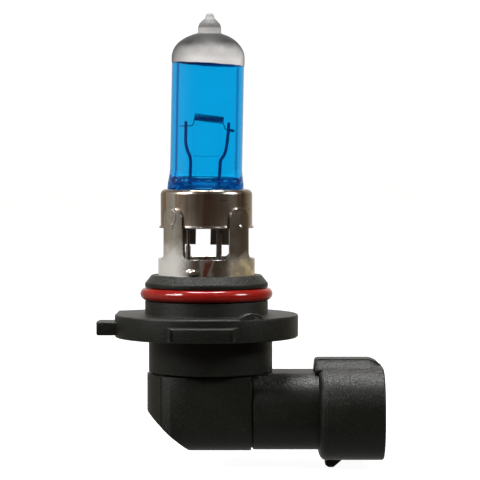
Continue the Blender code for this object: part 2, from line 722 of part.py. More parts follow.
def contact_shape(name, contact, grow=0.0, finish=None):
    """One contact: a flat blade, a strip to the post and the upright post.

    `grow` thickens it all round, for the slots that it passes through.
    """
    side, post_x, post_low, post_high, post_top = CONTACTS[contact]
    blade_y = side * BLADE_SPACING / 2.0
    blade_end = SOCKET_MOUTH - BLADE_RECESS + grow
    blade_low = blade_y - BLADE_WIDTH / 2.0 - grow
    blade_high = blade_y + BLADE_WIDTH / 2.0 + grow
    post_left = post_x - BLADE_THICKNESS / 2.0 - grow
    post_right = post_x + BLADE_THICKNESS / 2.0 + grow
    outline = [
        (post_left, min(post_low - grow, blade_low)),
        (blade_end - BLADE_TIP, blade_low),
        (blade_end, blade_low + BLADE_TIP),
        (blade_end, blade_high - BLADE_TIP),
        (blade_end - BLADE_TIP, blade_high),
        (post_left, max(post_high + grow, blade_high)),
    ]
    half = BLADE_THICKNESS / 2.0 + grow
    mesh = prism(name, outline, "Z", BLADE_Z - half, BLADE_Z + half)
    item = add_object(name, mesh, finish)
    post_name = "guide_post_" + name
    post = box(
        post_name, (post_left, post_right), (post_low - grow, post_high + grow),
        (BLADE_Z - half, post_top + grow)
    )
    combine(item, add_object(post_name, post), "UNION")
    return item


def cut_contact_slots(target, gap):
    """Cut the passages for both contacts through a moulded piece."""
    for contact in CONTACTS:
        slot = contact_shape("guide_slot_" + contact + "_" + target.name, contact, gap)
        combine(target, slot, "DIFFERENCE")


def make_contact_carrier(finish):
    """The insulating insert: a round plug in the neck and a block in the elbow."""
    radius = BORE_RADIUS - METAL_GAP
    plug = turned("contact_carrier", cylinder_profile(radius, BORE_BOTTOM + METAL_GAP, CARRIER_TOP))
    carrier = add_object("contact_carrier", plug, finish)
    name = "guide_carrier_block"
    block = box(
        name,
        (CARRIER_BLOCK_START, CORE_START - MOULDED_GAP),
        (-CARRIER_BLOCK_HALF_WIDTH, CARRIER_BLOCK_HALF_WIDTH),
        (CARRIER_BLOCK_BOTTOM, STUB_BOTTOM - MOULDED_GAP),
    )
    combine(carrier, add_object(name, block), "UNION")
    cut_contact_slots(carrier, METAL_GAP)


def make_seal_plug(finish):
    """The sealing compound poured round the contacts on top of the insert."""
    radius = BORE_RADIUS - METAL_GAP
    profile = cylinder_profile(radius, CARRIER_TOP + METAL_GAP, SEAL_PLUG_TOP)
    plug = add_object("seal_plug", turned("seal_plug", profile), finish)
    cut_contact_slots(plug, METAL_GAP)


# ---------------------------------------------------------------- moulded base

def base_profile():
    """Section of the flange, neck, ring groove and chamfered top."""
    groove_low = SEAL_CENTRE_Z - SEAL_SECTION / 2.0 - METAL_GAP
    groove_high = SEAL_CENTRE_Z + SEAL_SECTION / 2.0 + METAL_GAP
    groove_radius = SEAL_OUTER_RADIUS - SEAL_SECTION - METAL_GAP
    return [
        (0.0, -FLANGE_THICKNESS),
        (FLANGE_RADIUS - FLANGE_EDGE, -FLANGE_THICKNESS),
        (FLANGE_RADIUS, -FLANGE_THICKNESS + FLANGE_EDGE),
        (FLANGE_RADIUS, -FLANGE_EDGE),
        (FLANGE_RADIUS - FLANGE_EDGE, 0.0),
        (NECK_RADIUS, 0.0),
        (NECK_RADIUS, groove_low),
        (groove_radius, groove_low),
        (groove_radius, groove_high),
        (NECK_RADIUS, groove_high),
        (NECK_RADIUS, NECK_TOP - NECK_CHAMFER_HEIGHT),
        (NECK_RADIUS - NECK_CHAMFER_RADIAL, NECK_TOP),
        (0.0, NECK_TOP),
    ]


def lug_outline(azimuth, tip_width, root_width):
    """Plan of a bayonet lug, its tip an arc about the bulb's axis."""
    half_angle = math.degrees(math.asin(tip_width / 2.0 / LUG_RADIUS))
    root = FLANGE_RADIUS - 2.0 * MM
    outline = [(root, -root_width / 2.0)]
    outline += arc((0.0, 0.0), LUG_RADIUS, -half_angle, half_angle, 4)
    outline.append((root, root_width / 2.0))
    return turn_outline(outline, azimuth)


def add_lugs(base):
    """The three lugs that turn under the lamp's bayonet rim."""
    for index, (azimuth, tip_width, root_width) in enumerate(LUGS):
        name = "guide_lug_" + str(index)
        outline = lug_outline(azimuth, tip_width, root_width)
        mesh = prism(name, outline, "Z", LUG_TOP - LUG_THICKNESS, LUG_TOP)
        combine(base, add_object(name, mesh), "UNION")


def add_flange_corner(base):
    """The squared corner of the flange, behind the left lug."""
    outline = [
        (0.0, 0.0),
        (-FLANGE_CORNER_END, FLANGE_CORNER_LENGTH + FLANGE_CORNER_DROP),
        (-FLANGE_CORNER_REACH + FLANGE_CORNER_END, FLANGE_CORNER_LENGTH + FLANGE_CORNER_DROP),
        (-FLANGE_CORNER_REACH, FLANGE_CORNER_LENGTH),
        (-FLANGE_CORNER_REACH, 0.0),
    ]
    mesh = prism("guide_flange_corner", outline, "Z", -FLANGE_THICKNESS + FLANGE_EDGE, -FLANGE_EDGE)
    combine(base, add_object("guide_flange_corner", mesh), "UNION")


def add_rim_pip(base):
    """The half-round pip that stands on the flange's rim."""
    radius = (PIP_LENGTH ** 2 / 4.0 + PIP_HEIGHT ** 2) / (2.0 * PIP_HEIGHT)
    half_angle = math.degrees(math.asin(PIP_LENGTH / 2.0 / radius))
    section = arc((0.0, PIP_HEIGHT - radius), radius, 90.0 - half_angle, 90.0 + half_angle, 6)
    section += [(-PIP_LENGTH / 2.0, -0.6 * MM), (PIP_LENGTH / 2.0, -0.6 * MM)]
    outer = FLANGE_RADIUS - FLANGE_EDGE
    cosine = math.cos(math.radians(PIP_AZIMUTH))
    sine = math.sin(math.radians(PIP_AZIMUTH))
    rings = []
    for reach in (outer - PIP_DEPTH, outer):
        rings.append([(reach * cosine - t * sine, reach * sine + t * cosine, z) for t, z in section])
    combine(base, add_object("guide_rim_pip", loft("guide_rim_pip", rings)), "UNION")


def connector_ring(x, half_width, half_height, corner, centre_z):
    """One section of the elbow or the socket, across the connector's axis."""
    outline = rounded_rectangle(half_width, half_height, corner, (0.0, centre_z))
    return [(x, y, z) for y, z in outline]


def connector_mesh():
    """The elbow tube, the rounded shoulder and the socket, as one skin along X."""
    elbow = (ELBOW_HALF_WIDTH, ELBOW_HALF_HEIGHT, ELBOW_CORNER, ELBOW_CENTRE_Z)
    socket = (SOCKET_HALF_WIDTH, SOCKET_HALF_HEIGHT, SOCKET_CORNER, SOCKET_CENTRE_Z)
    rings = [connector_ring(ELBOW_START, *elbow)]
    shoulder_steps = 4
    for index in range(shoulder_steps + 1):
        angle = 0.5 * math.pi * index / shoulder_steps
        share = math.sin(angle)
        x = SOCKET_START + SOCKET_SHOULDER * (1.0 - math.cos(angle))
        rings.append(connector_ring(x, *[a + (b - a) * share for a, b in zip(elbow, socket)]))
    rings.append(connector_ring(SOCKET_MOUTH, *socket))
    return loft("guide_connector", rings)


def add_rib(base):
    """The socket's top rib: a narrow bar that slopes down to the mouth, on wide shoulders."""
    top = SOCKET_CENTRE_Z + SOCKET_HALF_HEIGHT
    rise = RIB_TOP_Z - top
    side = [
        (RIB_START, top - RIB_ROOT_DEPTH), (RIB_START, RIB_TOP_Z), (RIB_SLOPE_START, RIB_TOP_Z),
        (RIB_SLOPE_START + 0.6 * (RIB_END - RIB_SLOPE_START), RIB_TOP_Z - 0.4 * rise),
        (RIB_END, RIB_TOP_Z - 1.2 * rise), (RIB_END, top - RIB_ROOT_DEPTH),
    ]
    bar = prism("guide_rib", side, "Y", -RIB_HALF_WIDTH, RIB_HALF_WIDTH)
    combine(base, add_object("guide_rib", bar), "UNION")
    low = top - 0.3 * MM
    rings = []
    for x, share in (
        (SOCKET_START + 0.6 * MM, 0.0), (SOCKET_START + SOCKET_SHOULDER, 1.0),
        (RIB_SLOPE_START, 1.0), (RIB_END, 0.0),
    ):
        edge = top - 0.05 * MM + rise * share
        rings.append([
            (x, -RIB_BASE_HALF_WIDTH, low), (x, RIB_BASE_HALF_WIDTH, low),
            (x, RIB_HALF_WIDTH, edge), (x, -RIB_HALF_WIDTH, edge),
        ])
    combine(base, add_object("guide_rib_sides", loft("guide_rib_sides", rings)), "UNION")


def add_connector(base):
    """The elbow with its core and bridge, the socket, its top rib and its latch nub."""
    combine(base, add_object("guide_connector", connector_mesh()), "UNION")
    blocks = {
        "guide_core": (
            (CORE_START, ELBOW_START + 1.0 * MM), (-CORE_HALF_WIDTH, CORE_HALF_WIDTH),
            (CORE_BOTTOM, STUB_BOTTOM + 1.0 * MM),
        ),
        "guide_bridge": (
            (ELBOW_START, CORE_BRIDGE_END), (-CORE_HALF_WIDTH + 1.0 * MM, CORE_HALF_WIDTH - 1.0 * MM),
            (STUB_BOTTOM - 1.0 * MM, STUB_BOTTOM + 0.5 * MM),
        ),
    }
    for name, limits in blocks.items():
        combine(base, add_object(name, box(name, *limits)), "UNION")
    seam = (
        ELBOW_HALF_WIDTH - ELBOW_SEAM_DEPTH, ELBOW_HALF_HEIGHT - ELBOW_SEAM_DEPTH,
        ELBOW_CORNER - ELBOW_SEAM_DEPTH, ELBOW_CENTRE_Z,
    )
    rings = [connector_ring(x, *seam) for x in (COVER_RIGHT + SEAM_GAP, ELBOW_START + 0.2 * MM)]
    combine(base, add_object("guide_seam", loft("guide_seam", rings)), "UNION")
    bottom = SOCKET_CENTRE_Z - SOCKET_HALF_HEIGHT
    ramp = [
        (LATCH_START, bottom + 0.8 * MM),
        (LATCH_START, bottom - LATCH_DEPTH * 0.85),
        (LATCH_START + 0.4 * MM, bottom - LATCH_DEPTH),
        (LATCH_PEAK, bottom - LATCH_DEPTH),
        (LATCH_END, bottom - LATCH_DEPTH * 0.1),
        (LATCH_END, bottom + 0.8 * MM),
    ]
    nub = prism("guide_latch", ramp, "Y", -LATCH_HALF_WIDTH, LATCH_HALF_WIDTH)
    combine(base, add_object("guide_latch", nub), "UNION")


def cut_base_hollows(base):
    """The bore for the insert, the slot for the steel ring and the inside of the socket."""
    # The bore ends just inside the elbow's core, which stays whole below it.
    bore = turned("guide_bore", cylinder_profile(BORE_RADIUS, BORE_BOTTOM, NECK_TOP + MM))
    combine(base, add_object("guide_bore", bore), "DIFFERENCE")
    inner = RING_OUTER_RADIUS - RING_WALL - METAL_GAP
    outer = RING_OUTER_RADIUS + METAL_GAP
    slot = turned("guide_ring_slot", [
        (inner, RING_BOTTOM - METAL_GAP), (outer, RING_BOTTOM - METAL_GAP),
        (outer, NECK_TOP + MM), (inner, NECK_TOP + MM),
    ])
    combine(base, add_object("guide_ring_slot", slot), "DIFFERENCE")
    inside = (
        SOCKET_HALF_WIDTH - SOCKET_WALL, SOCKET_HALF_HEIGHT - SOCKET_WALL,
        SOCKET_CORNER - SOCKET_WALL, SOCKET_CENTRE_Z,
    )
    rings = [connector_ring(x, *inside) for x in (SOCKET_FLOOR, SOCKET_MOUTH + MM)]
    combine(base, add_object("guide_socket", loft("guide_socket", rings)), "DIFFERENCE")


def make_base_housing(finish):
    """The moulded base in one piece, from the neck to the connector's mouth."""
    base = add_object("base_housing", turned("base_housing", base_profile()), finish)
    stub_profile = cylinder_profile(STUB_RADIUS, STUB_BOTTOM, -FLANGE_THICKNESS + 0.5 * MM)
    stub = turned("guide_stub", stub_profile, STUB_OFFSET)
    combine(base, add_object("guide_stub", stub), "UNION")
    add_lugs(base)
    add_flange_corner(base)
    add_rim_pip(base)
    add_connector(base)
    add_rib(base)
    cut_base_hollows(base)
    cut_contact_slots(base, METAL_GAP)


def make_o_ring(finish):
    """The sealing ring in its groove."""
    radius = SEAL_SECTION / 2.0
    profile = arc((SEAL_OUTER_RADIUS - radius, SEAL_CENTRE_Z), radius, 0.0, 360.0, 12)[:-1]
    add_object("o_ring", turned("o_ring", profile), finish)


# ---------------------------------------------------------------- rear cover

def cover_plan(inset, right):
    """Plan of the cover: a round left end about the stub's axis and two straight sides."""
    radius = COVER_REACH + STUB_OFFSET - inset
    half_width = COVER_HALF_WIDTH - inset
    half_angle = math.degrees(math.asin(half_width / radius))
    outline = [(right, half_width)]
    outline += arc((STUB_OFFSET, 0.0), radius, 180.0 - half_angle, 180.0 + half_angle, 16)
    outline.append((right, -half_width))
    return outline


def cover_solid(name, inset, right, top):
    """The cover's outer form, or its inner form when inset by the wall."""
    bottom = COVER_BOTTOM + inset
    body = add_object(name, prism(name, cover_plan(inset, right), "Z", bottom, top))
    lean = math.hypot(COVER_CHAMFER_WIDTH, COVER_CHAMFER_HEIGHT)
    shift = inset * (lean - COVER_CHAMFER_WIDTH) / COVER_CHAMFER_HEIGHT
    left = -COVER_REACH + inset
    side_view = [
        (left - MM * (inset == 0.0), top + MM),
        (left - MM * (inset == 0.0), COVER_BOTTOM + COVER_CHAMFER_HEIGHT + shift),
        (left, COVER_BOTTOM + COVER_CHAMFER_HEIGHT + shift),
        (-COVER_REACH + COVER_CHAMFER_WIDTH + shift, bottom - MM * (inset == 0.0)),
        (right + MM, bottom - MM * (inset == 0.0)),
        (right + MM, top + MM),
    ]
    side_name = name + "_side"
    side = add_object(side_name, prism(side_name, side_view, "Y", -15.0 * MM, 15.0 * MM))
    combine(body, side, "INTERSECT")
    half_width = COVER_HALF_WIDTH - inset
    corner = COVER_CORNER - inset
    end_view = [(half_width + MM, top + MM), (-half_width - MM, top + MM)]
    end_view += [(-half_width - MM, bottom + corner)]
    end_view += arc((-half_width + corner, bottom + corner), corner, 180.0, 270.0, 5)
    end_view += arc((half_width - corner, bottom + corner), corner, 270.0, 360.0, 5)
    end_view += [(half_width + MM, bottom + corner)]
    end_name = name + "_end"
    end = add_object(end_name, prism(end_name, end_view, "X", -20.0 * MM, right + MM))
    combine(body, end, "INTERSECT")
    return body


def make_rear_cover(finish):
    """The cap over the elbow: a thin shell, open on top and towards the socket."""
    cover = cover_solid("rear_cover", 0.0, COVER_RIGHT, COVER_TOP)
    cover.data.materials.append(finish)
    inside = cover_solid("guide_cover_inside", COVER_WALL, COVER_RIGHT + MM, COVER_TOP + MM)
    combine(cover, inside, "DIFFERENCE")


# ---------------------------------------------------------------- assembly

def main():
    """Build every piece of the bulb."""
    clear_scene()
    finishes = make_materials()
    frame = make_capsule_frame()
    make_glass_envelope(finishes["quartz"], frame)
    make_filament(finishes["tungsten"], frame)
    make_support_leads(finishes["nickel"], frame)
    make_outer_leads(finishes["nickel"], frame)
    make_pinch_foils(finishes["foil"], frame)
    make_pinch_clip(finishes["spring"], frame)
    make_capsule_collar(finishes["steel"])
    make_mounting_ring(finishes["steel"])
    for contact in CONTACTS:
        contact_shape(contact, contact, finish=finishes["contact"])
    make_contact_carrier(finishes["insert"])
    make_seal_plug(finishes["compound"])
    make_base_housing(finishes["moulding"])
    make_rear_cover(finishes["moulding"])
    make_o_ring(finishes["silicone"])


main()
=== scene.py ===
"""Headlight bulb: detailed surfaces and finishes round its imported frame.

The frame gives every place: metres, +Z up to the glass tip, +X out of the connector, and
the origin on the bulb's axis in the top face of the flange.  Each operator builds one piece
or one group of like pieces, as numpy surfaces with their places in their meshes.
"""

import math

import bpy
import numpy as np
from bpy.props import FloatProperty, FloatVectorProperty, IntProperty, PointerProperty
from bpy.types import Operator, Panel, PropertyGroup
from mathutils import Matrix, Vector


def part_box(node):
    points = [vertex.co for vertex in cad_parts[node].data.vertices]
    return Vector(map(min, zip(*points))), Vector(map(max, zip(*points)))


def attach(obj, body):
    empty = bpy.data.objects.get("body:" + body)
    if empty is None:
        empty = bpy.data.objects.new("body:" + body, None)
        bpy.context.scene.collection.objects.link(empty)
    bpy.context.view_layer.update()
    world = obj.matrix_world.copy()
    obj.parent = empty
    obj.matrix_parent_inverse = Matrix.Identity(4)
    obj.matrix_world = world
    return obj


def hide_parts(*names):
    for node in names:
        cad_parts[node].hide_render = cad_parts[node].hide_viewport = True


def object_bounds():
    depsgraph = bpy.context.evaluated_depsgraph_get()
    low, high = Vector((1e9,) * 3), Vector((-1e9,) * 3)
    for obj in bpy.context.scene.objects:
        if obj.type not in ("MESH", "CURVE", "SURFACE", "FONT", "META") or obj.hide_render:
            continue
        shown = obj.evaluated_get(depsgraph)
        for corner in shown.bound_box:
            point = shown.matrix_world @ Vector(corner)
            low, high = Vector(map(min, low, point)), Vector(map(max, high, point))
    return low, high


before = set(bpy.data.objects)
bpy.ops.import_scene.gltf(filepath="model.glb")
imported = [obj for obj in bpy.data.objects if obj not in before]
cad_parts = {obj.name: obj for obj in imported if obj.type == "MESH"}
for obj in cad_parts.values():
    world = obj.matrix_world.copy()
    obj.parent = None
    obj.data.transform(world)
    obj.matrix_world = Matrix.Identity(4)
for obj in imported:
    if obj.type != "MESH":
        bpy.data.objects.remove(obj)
CAD_BOX = [[float(value) for value in corner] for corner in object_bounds()]

bl_info = {
    "name": "Headlight bulb",
    "version": (1, 0, 0),
    "blender": (4, 5, 0),
    "location": "View3D > Sidebar > Bulb",
    "description": "Builds a right-angle halogen headlight bulb round its CAD frame",
    "category": "Object",
}

MM = 0.001
BODY = "root"
BASE_LOW, BASE_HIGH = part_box("base_housing")
COVER_LOW, COVER_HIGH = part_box("rear_cover")
CUP_LOW, CUP_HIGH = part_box("capsule_collar")
RING_LOW, RING_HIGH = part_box("mounting_ring")
SEAL_LOW, SEAL_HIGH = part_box("o_ring")
SEAL_RADIUS = (float(SEAL_HIGH[2]) - float(SEAL_LOW[2])) / 2.0
MOUTH = float(BASE_HIGH[0])


# ---------------------------------------------------------------- sizes and colours

def length(name, description, default):
    """A length property in metres."""
    return FloatProperty(
        name=name, description=description, default=default, unit="LENGTH", precision=6
    )


def colour(name, description, default):
    """A colour property."""
    return FloatVectorProperty(
        name=name, description=description, default=default, subtype="COLOR", size=3
    )


class BulbCapsuleSettings(PropertyGroup):
    """Sizes and colours of the quartz capsule and what it holds."""

    light_centre: length("Light centre", "Height of the filament above the flange", 31.5 * MM)
    lean: FloatProperty(
        name="Lean", description="Lean of the capsule", default=math.radians(1.08), subtype="ANGLE"
    )
    stand_off: length("Stand-off", "How far the capsule stands off the axis, towards +X", 0.10 * MM)
    tube_radius: length("Tube radius", "Outer radius of the glass tube", 5.84 * MM)
    bore_radius: length("Bore radius", "Inner radius of the glass tube", 4.86 * MM)
    dome_centre: length("Dome centre", "Height where the dome starts", 41.44 * MM)
    dome_height: length("Dome height", "Height of the outer dome", 4.05 * MM)
    tip_offset: length("Tip offset", "How far the exhaust tip stands off the axis", 0.15 * MM)
    pinch_half_width: length("Pinch half width", "Half the width of the pinch", 5.85 * MM)
    pinch_half_depth: length("Pinch half depth", "Half the thickness of the pinch", 1.75 * MM)
    flare_half_width: length("Flare half width", "Half the width of the flare", 6.17 * MM)
    paint_edge: length("Paint edge", "Height of the cap paint's lower edge", 40.33 * MM)
    paint_slope: length("Paint slope", "How far the paint's edge drops to the right", 0.225 * MM)
    wire_diameter: length("Coil wire", "Diameter of the tungsten wire", 0.15 * MM)
    coil_diameter: length("Coil diameter", "Outer diameter of the coil", 1.22 * MM)
    coil_turns: IntProperty(name="Coil turns", description="Turns in the coil", default=21)
    lead_diameter: length("Lead diameter", "Diameter of the support leads", 0.52 * MM)
    coat_colour: colour("Coat colour", "Blue of the coated quartz", (0.0008, 0.350, 0.70))
    edge_colour: colour("Coat edge", "Blue of the coat seen at a glancing angle", (0.0005, 0.10, 0.33))
    paint_colour: colour("Paint colour", "Silver-grey of the cap paint", (0.80, 0.78, 0.765))


class BulbSteelSettings(PropertyGroup):
    """Sizes and colours of the pressed steel pieces and the contacts."""

    sheet: length("Sheet", "Thickness of the ring's sheet", 0.34 * MM)
    cup_sheet: length("Cup sheet", "Thickness of the cup's sheet", 0.35 * MM)
    cup_radius: length("Cup radius", "Outer radius of the cup", 7.42 * MM)
    cup_shoulder: length("Cup shoulder", "Radius of the cup's rounded shoulder", 0.85 * MM)
    brim_radius: length("Brim radius", "Outer radius of the cup's brim", 7.65 * MM)
    band_top: length("Band top", "Height of the ring between its arms", 9.05 * MM)
    arm_half_width: length("Arm half width", "Half the width of an arm", 2.10 * MM)
    steel_colour: colour("Steel colour", "Colour of the pressed steel", (0.60, 0.565, 0.51))


class BulbBaseSettings(PropertyGroup):
    """Sizes and colours of the moulded base, the cover and the sealing ring."""

    neck_radius: length("Neck radius", "Radius of the neck and the shoulder", 9.96 * MM)
    flange_radius: length("Flange radius", "Radius of the flange", 14.86 * MM)
    flange_depth: length("Flange depth", "Thickness of the flange", 3.70 * MM)
    stub_radius: length("Stub radius", "Radius of the stub under the flange", 10.02 * MM)
    stub_offset: length("Stub offset", "How far the stub's axis stands off the bulb's", 0.66 * MM)
    socket_corner: length("Socket corner", "Corner radius of the socket", 6.40 * MM)
    socket_wall: length("Socket wall", "Wall of the socket", 1.40 * MM)
    moulding_colour: colour("Moulding colour", "Colour of the base", (0.0062, 0.0068, 0.0052))
    seal_colour: colour("Seal colour", "Colour of the sealing ring", (0.25, 0.008, 0.005))


class BulbStageSettings(PropertyGroup):
    """The camera's distance and lens, and the brightness of the stage."""

    distance: length("Distance", "Distance of the camera from the bulb's axis", 328.0 * MM)
    height: length("Height", "Height of the camera above the flange", 22.97 * MM)
    aim_side: length("Aim side", "Where the camera aims, along the connector", 5.43 * MM)
    aim_height: length("Aim height", "Height that the camera aims at", 11.96 * MM)
    lens: FloatProperty(name="Lens", description="Focal length in millimetres", default=151.9)
    backdrop: FloatProperty(name="Backdrop", description="Brightness of the backdrop", default=1.03)


# ---------------------------------------------------------------- surfaces

def ease(values, start, end):
    """Smoothstep: 0 below start, 1 above end, and 3t^2 - 2t^3 between them."""
    t = np.clip((np.asarray(values, dtype=float) - start) / (end - start), 0.0, 1.0)
    return t * t * (3.0 - 2.0 * t)


def smooth_through(knots, per_span):
    """Catmull-Rom curve through the knots: each span is a cubic whose slopes at its ends are
    half the difference of the neighbouring knots."""
    points = np.asarray(knots, dtype=float)
    padded = np.vstack([2 * points[0] - points[1], points, 2 * points[-1] - points[-2]])
    t = np.linspace(0.0, 1.0, per_span, endpoint=False)[None, :, None]
    a, b, c, d = (padded[k:len(padded) - 3 + k][:, None, :] for k in range(4))
    square = 2 * a - 5 * b + 4 * c - d
    cube = 3 * b - a - 3 * c + d
    spans = 0.5 * (2 * b + (c - a) * t + square * t ** 2 + cube * t ** 3)
    return np.vstack([spans.reshape(-1, points.shape[1]), points[-1:]])


def arc_points(centre, radius, start, end, steps):
    """Points of a circular arc in a plane: centre plus radius times (cosine, sine)."""
    angle = np.radians(np.linspace(start, end, steps + 1))
    return np.column_stack([centre[0] + radius * np.cos(angle), centre[1] + radius * np.sin(angle)])


def skin(grid, wrap_rows=False, wrap_columns=True, caps=True):
    """Quads over a (rows, columns, 3) grid of points; open ends get one flat face each."""
    rows, columns = grid.shape[:2]
    row = np.arange(rows if wrap_rows else rows - 1)
    column = np.arange(columns if wrap_columns else columns - 1)
    r, c = np.meshgrid(row, column, indexing="ij")
    after_r = (r + 1) % rows
    after_c = (c + 1) % columns
    corners = (r * columns + c, r * columns + after_c, after_r * columns + after_c, after_r * columns + c)
    faces = np.stack(corners, axis=-1).reshape(-1, 4).tolist()
    if caps and not wrap_rows:
        faces.append(list(range(columns))[::-1])
        faces.append(list(range((rows - 1) * columns, rows * columns)))
    return grid.reshape(-1, 3), faces


def turned(profile, steps, centre_x=0.0, loop=True):
    """Surface of revolution: a (radius, z) line carried round the upright axis.  A loop joins
    its own start; an open line is closed by a flat face at each end."""
    profile = np.asarray(profile, dtype=float)
    angle = np.linspace(0.0, 2.0 * math.pi, steps, endpoint=False)
    x = centre_x + profile[:, :1] * np.cos(angle)
    y = profile[:, :1] * np.sin(angle)
    z = np.broadcast_to(profile[:, 1:], x.shape)
    return skin(np.stack([x, y, z], axis=-1), wrap_rows=loop)


def squircle_rings(z, half_x, half_y, power, centre_x, steps):
    """Stacked rings between ellipses and rectangles: |x/a|^p + |y/b|^p = 1 at each height."""
    angle = 2.0 * math.pi * (np.arange(steps) + 0.5) / steps
    cosine = np.cos(angle)[None, :]
    sine = np.sin(angle)[None, :]
    exponent = (2.0 / power)[:, None]
    x = centre_x[:, None] + np.sign(cosine) * np.abs(cosine) ** exponent * half_x[:, None]
    y = np.sign(sine) * np.abs(sine) ** exponent * half_y[:, None]
    return np.stack([x, y, np.broadcast_to(z[:, None], x.shape)], axis=-1)


def wire_surface(path, radius, sides, reference=(0.0, 1.0, 0.0), tip_rows=4):
    """Round wire: a circle carried along the path, square to it, on two axes made from the
    path's direction and a reference direction; quarter-round rows close each end."""
    path = np.asarray(path, dtype=float)
    direction = np.gradient(path, axis=0)
    direction /= np.linalg.norm(direction, axis=1, keepdims=True)
    side = np.cross(direction, np.broadcast_to(reference, path.shape))
    side /= np.linalg.norm(side, axis=1, keepdims=True)
    other = np.cross(direction, side)
    swing = np.radians(np.linspace(80.0, 0.0, tip_rows, endpoint=False))
    back = swing[::-1]
    count = len(path)
    reach = np.concatenate([-radius * np.sin(swing), np.zeros(count), radius * np.sin(back)])
    width = np.concatenate([radius * np.cos(swing), np.full(count, radius), radius * np.cos(back)])
    index = np.concatenate([np.zeros(tip_rows, int), np.arange(count), np.full(tip_rows, count - 1)])
    middle = path[index] + direction[index] * reach[:, None]
    angle = np.linspace(0.0, 2.0 * math.pi, sides, endpoint=False)
    cosine = np.cos(angle)[None, :, None]
    sine = np.sin(angle)[None, :, None]
    around = side[index][:, None] * cosine + other[index][:, None] * sine
    return skin(middle[:, None] + around * width[:, None, None])


def offset_outline(outline, distance):
    """Move each point of a closed anticlockwise outline inwards, along its mitred normal."""
    before = outline - np.roll(outline, 1, axis=0)
    after = np.roll(outline, -1, axis=0) - outline
    before /= np.linalg.norm(before, axis=1, keepdims=True)
    after /= np.linalg.norm(after, axis=1, keepdims=True)
    normal_before = np.column_stack([-before[:, 1], before[:, 0]])
    normal_after = np.column_stack([-after[:, 1], after[:, 0]])
    middle = normal_before + normal_after
    share = np.maximum(np.sum(middle * normal_after, axis=1, keepdims=True), 0.3)
    return outline + distance * middle / share


def slab(outline, low, high, edge, axis="Z", edge_steps=3):
    """A plate: an anticlockwise outline carried along an axis, its two rims rounded by
    stepping the outline inwards as 1 - cosine while the height moves as sine."""
    outline = np.asarray(outline, dtype=float)
    swing = np.radians(np.linspace(0.0, 90.0, edge_steps + 1))
    inset = edge * (1.0 - np.sin(swing))
    lift = edge * (1.0 - np.cos(swing))
    rings = []
    for step in range(edge_steps + 1):
        rings.append((offset_outline(outline, inset[step]), low + lift[step]))
    for step in range(edge_steps, -1, -1):
        rings.append((offset_outline(outline, inset[step]), high - lift[step]))
    grid = np.stack([np.column_stack([line, np.full(len(line), height)]) for line, height in rings])
    order = {"X": [2, 0, 1], "Y": [1, 2, 0], "Z": [0, 1, 2]}[axis]
    return skin(grid[:, :, order])


def rounded_rectangle(half_a, half_b, corner, steps=12, centre=(0.0, 0.0)):
    """Anticlockwise outline of a rectangle whose corners are quarter circles."""
    quarters = []
    for quarter, (a, b) in enumerate(((1, 1), (-1, 1), (-1, -1), (1, -1))):
        middle = (centre[0] + a * (half_a - corner), centre[1] + b * (half_b - corner))
        quarters.append(arc_points(middle, corner, 90.0 * quarter, 90.0 * quarter + 90.0, steps))
    return np.vstack(quarters)


def turn_plan(outline, azimuth):
    """Turn plan points about the axis by an azimuth in degrees."""
    angle = math.radians(azimuth)
    matrix = np.array([[math.cos(angle), math.sin(angle)], [-math.sin(angle), math.cos(angle)]])
    return np.asarray(outline, dtype=float) @ matrix


def lean(points, settings):
    """Turn points about the light centre by the capsule's lean, top towards +X, and ease them
    off the axis towards +X over the height of the flare."""
    points = np.array(points, dtype=float)
    cosine = math.cos(settings.lean)
    sine = math.sin(settings.lean)
    x = points[..., 0].copy()
    z = points[..., 2] - settings.light_centre
    off = settings.stand_off * ease(points[..., 2], 17.0 * MM, 23.0 * MM)
    points[..., 0] = x * cosine + z * sine + off
    points[..., 2] = z * cosine - x * sine + settings.light_centre
    return points


# ---------------------------------------------------------------- meshes

def join_surfaces(surfaces):
    """One list of points and one of faces from several surfaces."""
    points = []
    faces = []
    count = 0
    for more_points, more_faces in surfaces:
        points.append(more_points)
        faces += [[index + count for index in face] for face in more_faces]
        count += len(more_points)
    return np.vstack(points), faces


def make_mesh(name, surfaces, smooth=35.0):
    """A mesh from surfaces, smooth except at edges sharper than an angle in degrees."""
    points, faces = join_surfaces(surfaces)
    mesh = bpy.data.meshes.new(name)
    mesh.from_pydata(points.tolist(), [], faces)
    mesh.validate()
    mesh.shade_smooth()
    mesh.set_sharp_from_angle(angle=math.radians(smooth))
    return mesh


def place(name, mesh):
    """Link a mesh to the scene as an object at the origin."""
    piece = bpy.data.objects.new(name, mesh)
    bpy.context.scene.collection.objects.link(piece)
    return piece


def settle(piece, finish, nodes=()):
    """Give a piece its finish, its body and the CAD nodes that it stands for."""
    piece.data.materials.clear()
    piece.data.materials.append(finish)
    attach(piece, BODY)
    if nodes:
        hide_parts(*nodes)
    return piece


def combine(target, others, operation, smooth=35.0):
    """Join or cut a piece with closed surfaces by exact Booleans, applied to its mesh."""
    for other in others:
        step = target.modifiers.new("combine", "BOOLEAN")
        step.operation = operation
        step.solver = "EXACT"
        step.object = other
    depsgraph = bpy.context.evaluated_depsgraph_get()
    result = bpy.data.meshes.new_from_object(target.evaluated_get(depsgraph))
    target.modifiers.clear()
    target.data = result
    result.shade_smooth()
    result.set_sharp_from_angle(angle=math.radians(smooth))
    for other in others:
        bpy.data.objects.remove(other, do_unlink=True)


def refinish(node, finish):
    """Give a CAD node that stays visible a new finish."""
    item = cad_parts[node]
    for index in range(len(item.material_slots)):
        item.material_slots[index].material = finish


# ---------------------------------------------------------------- shader maths

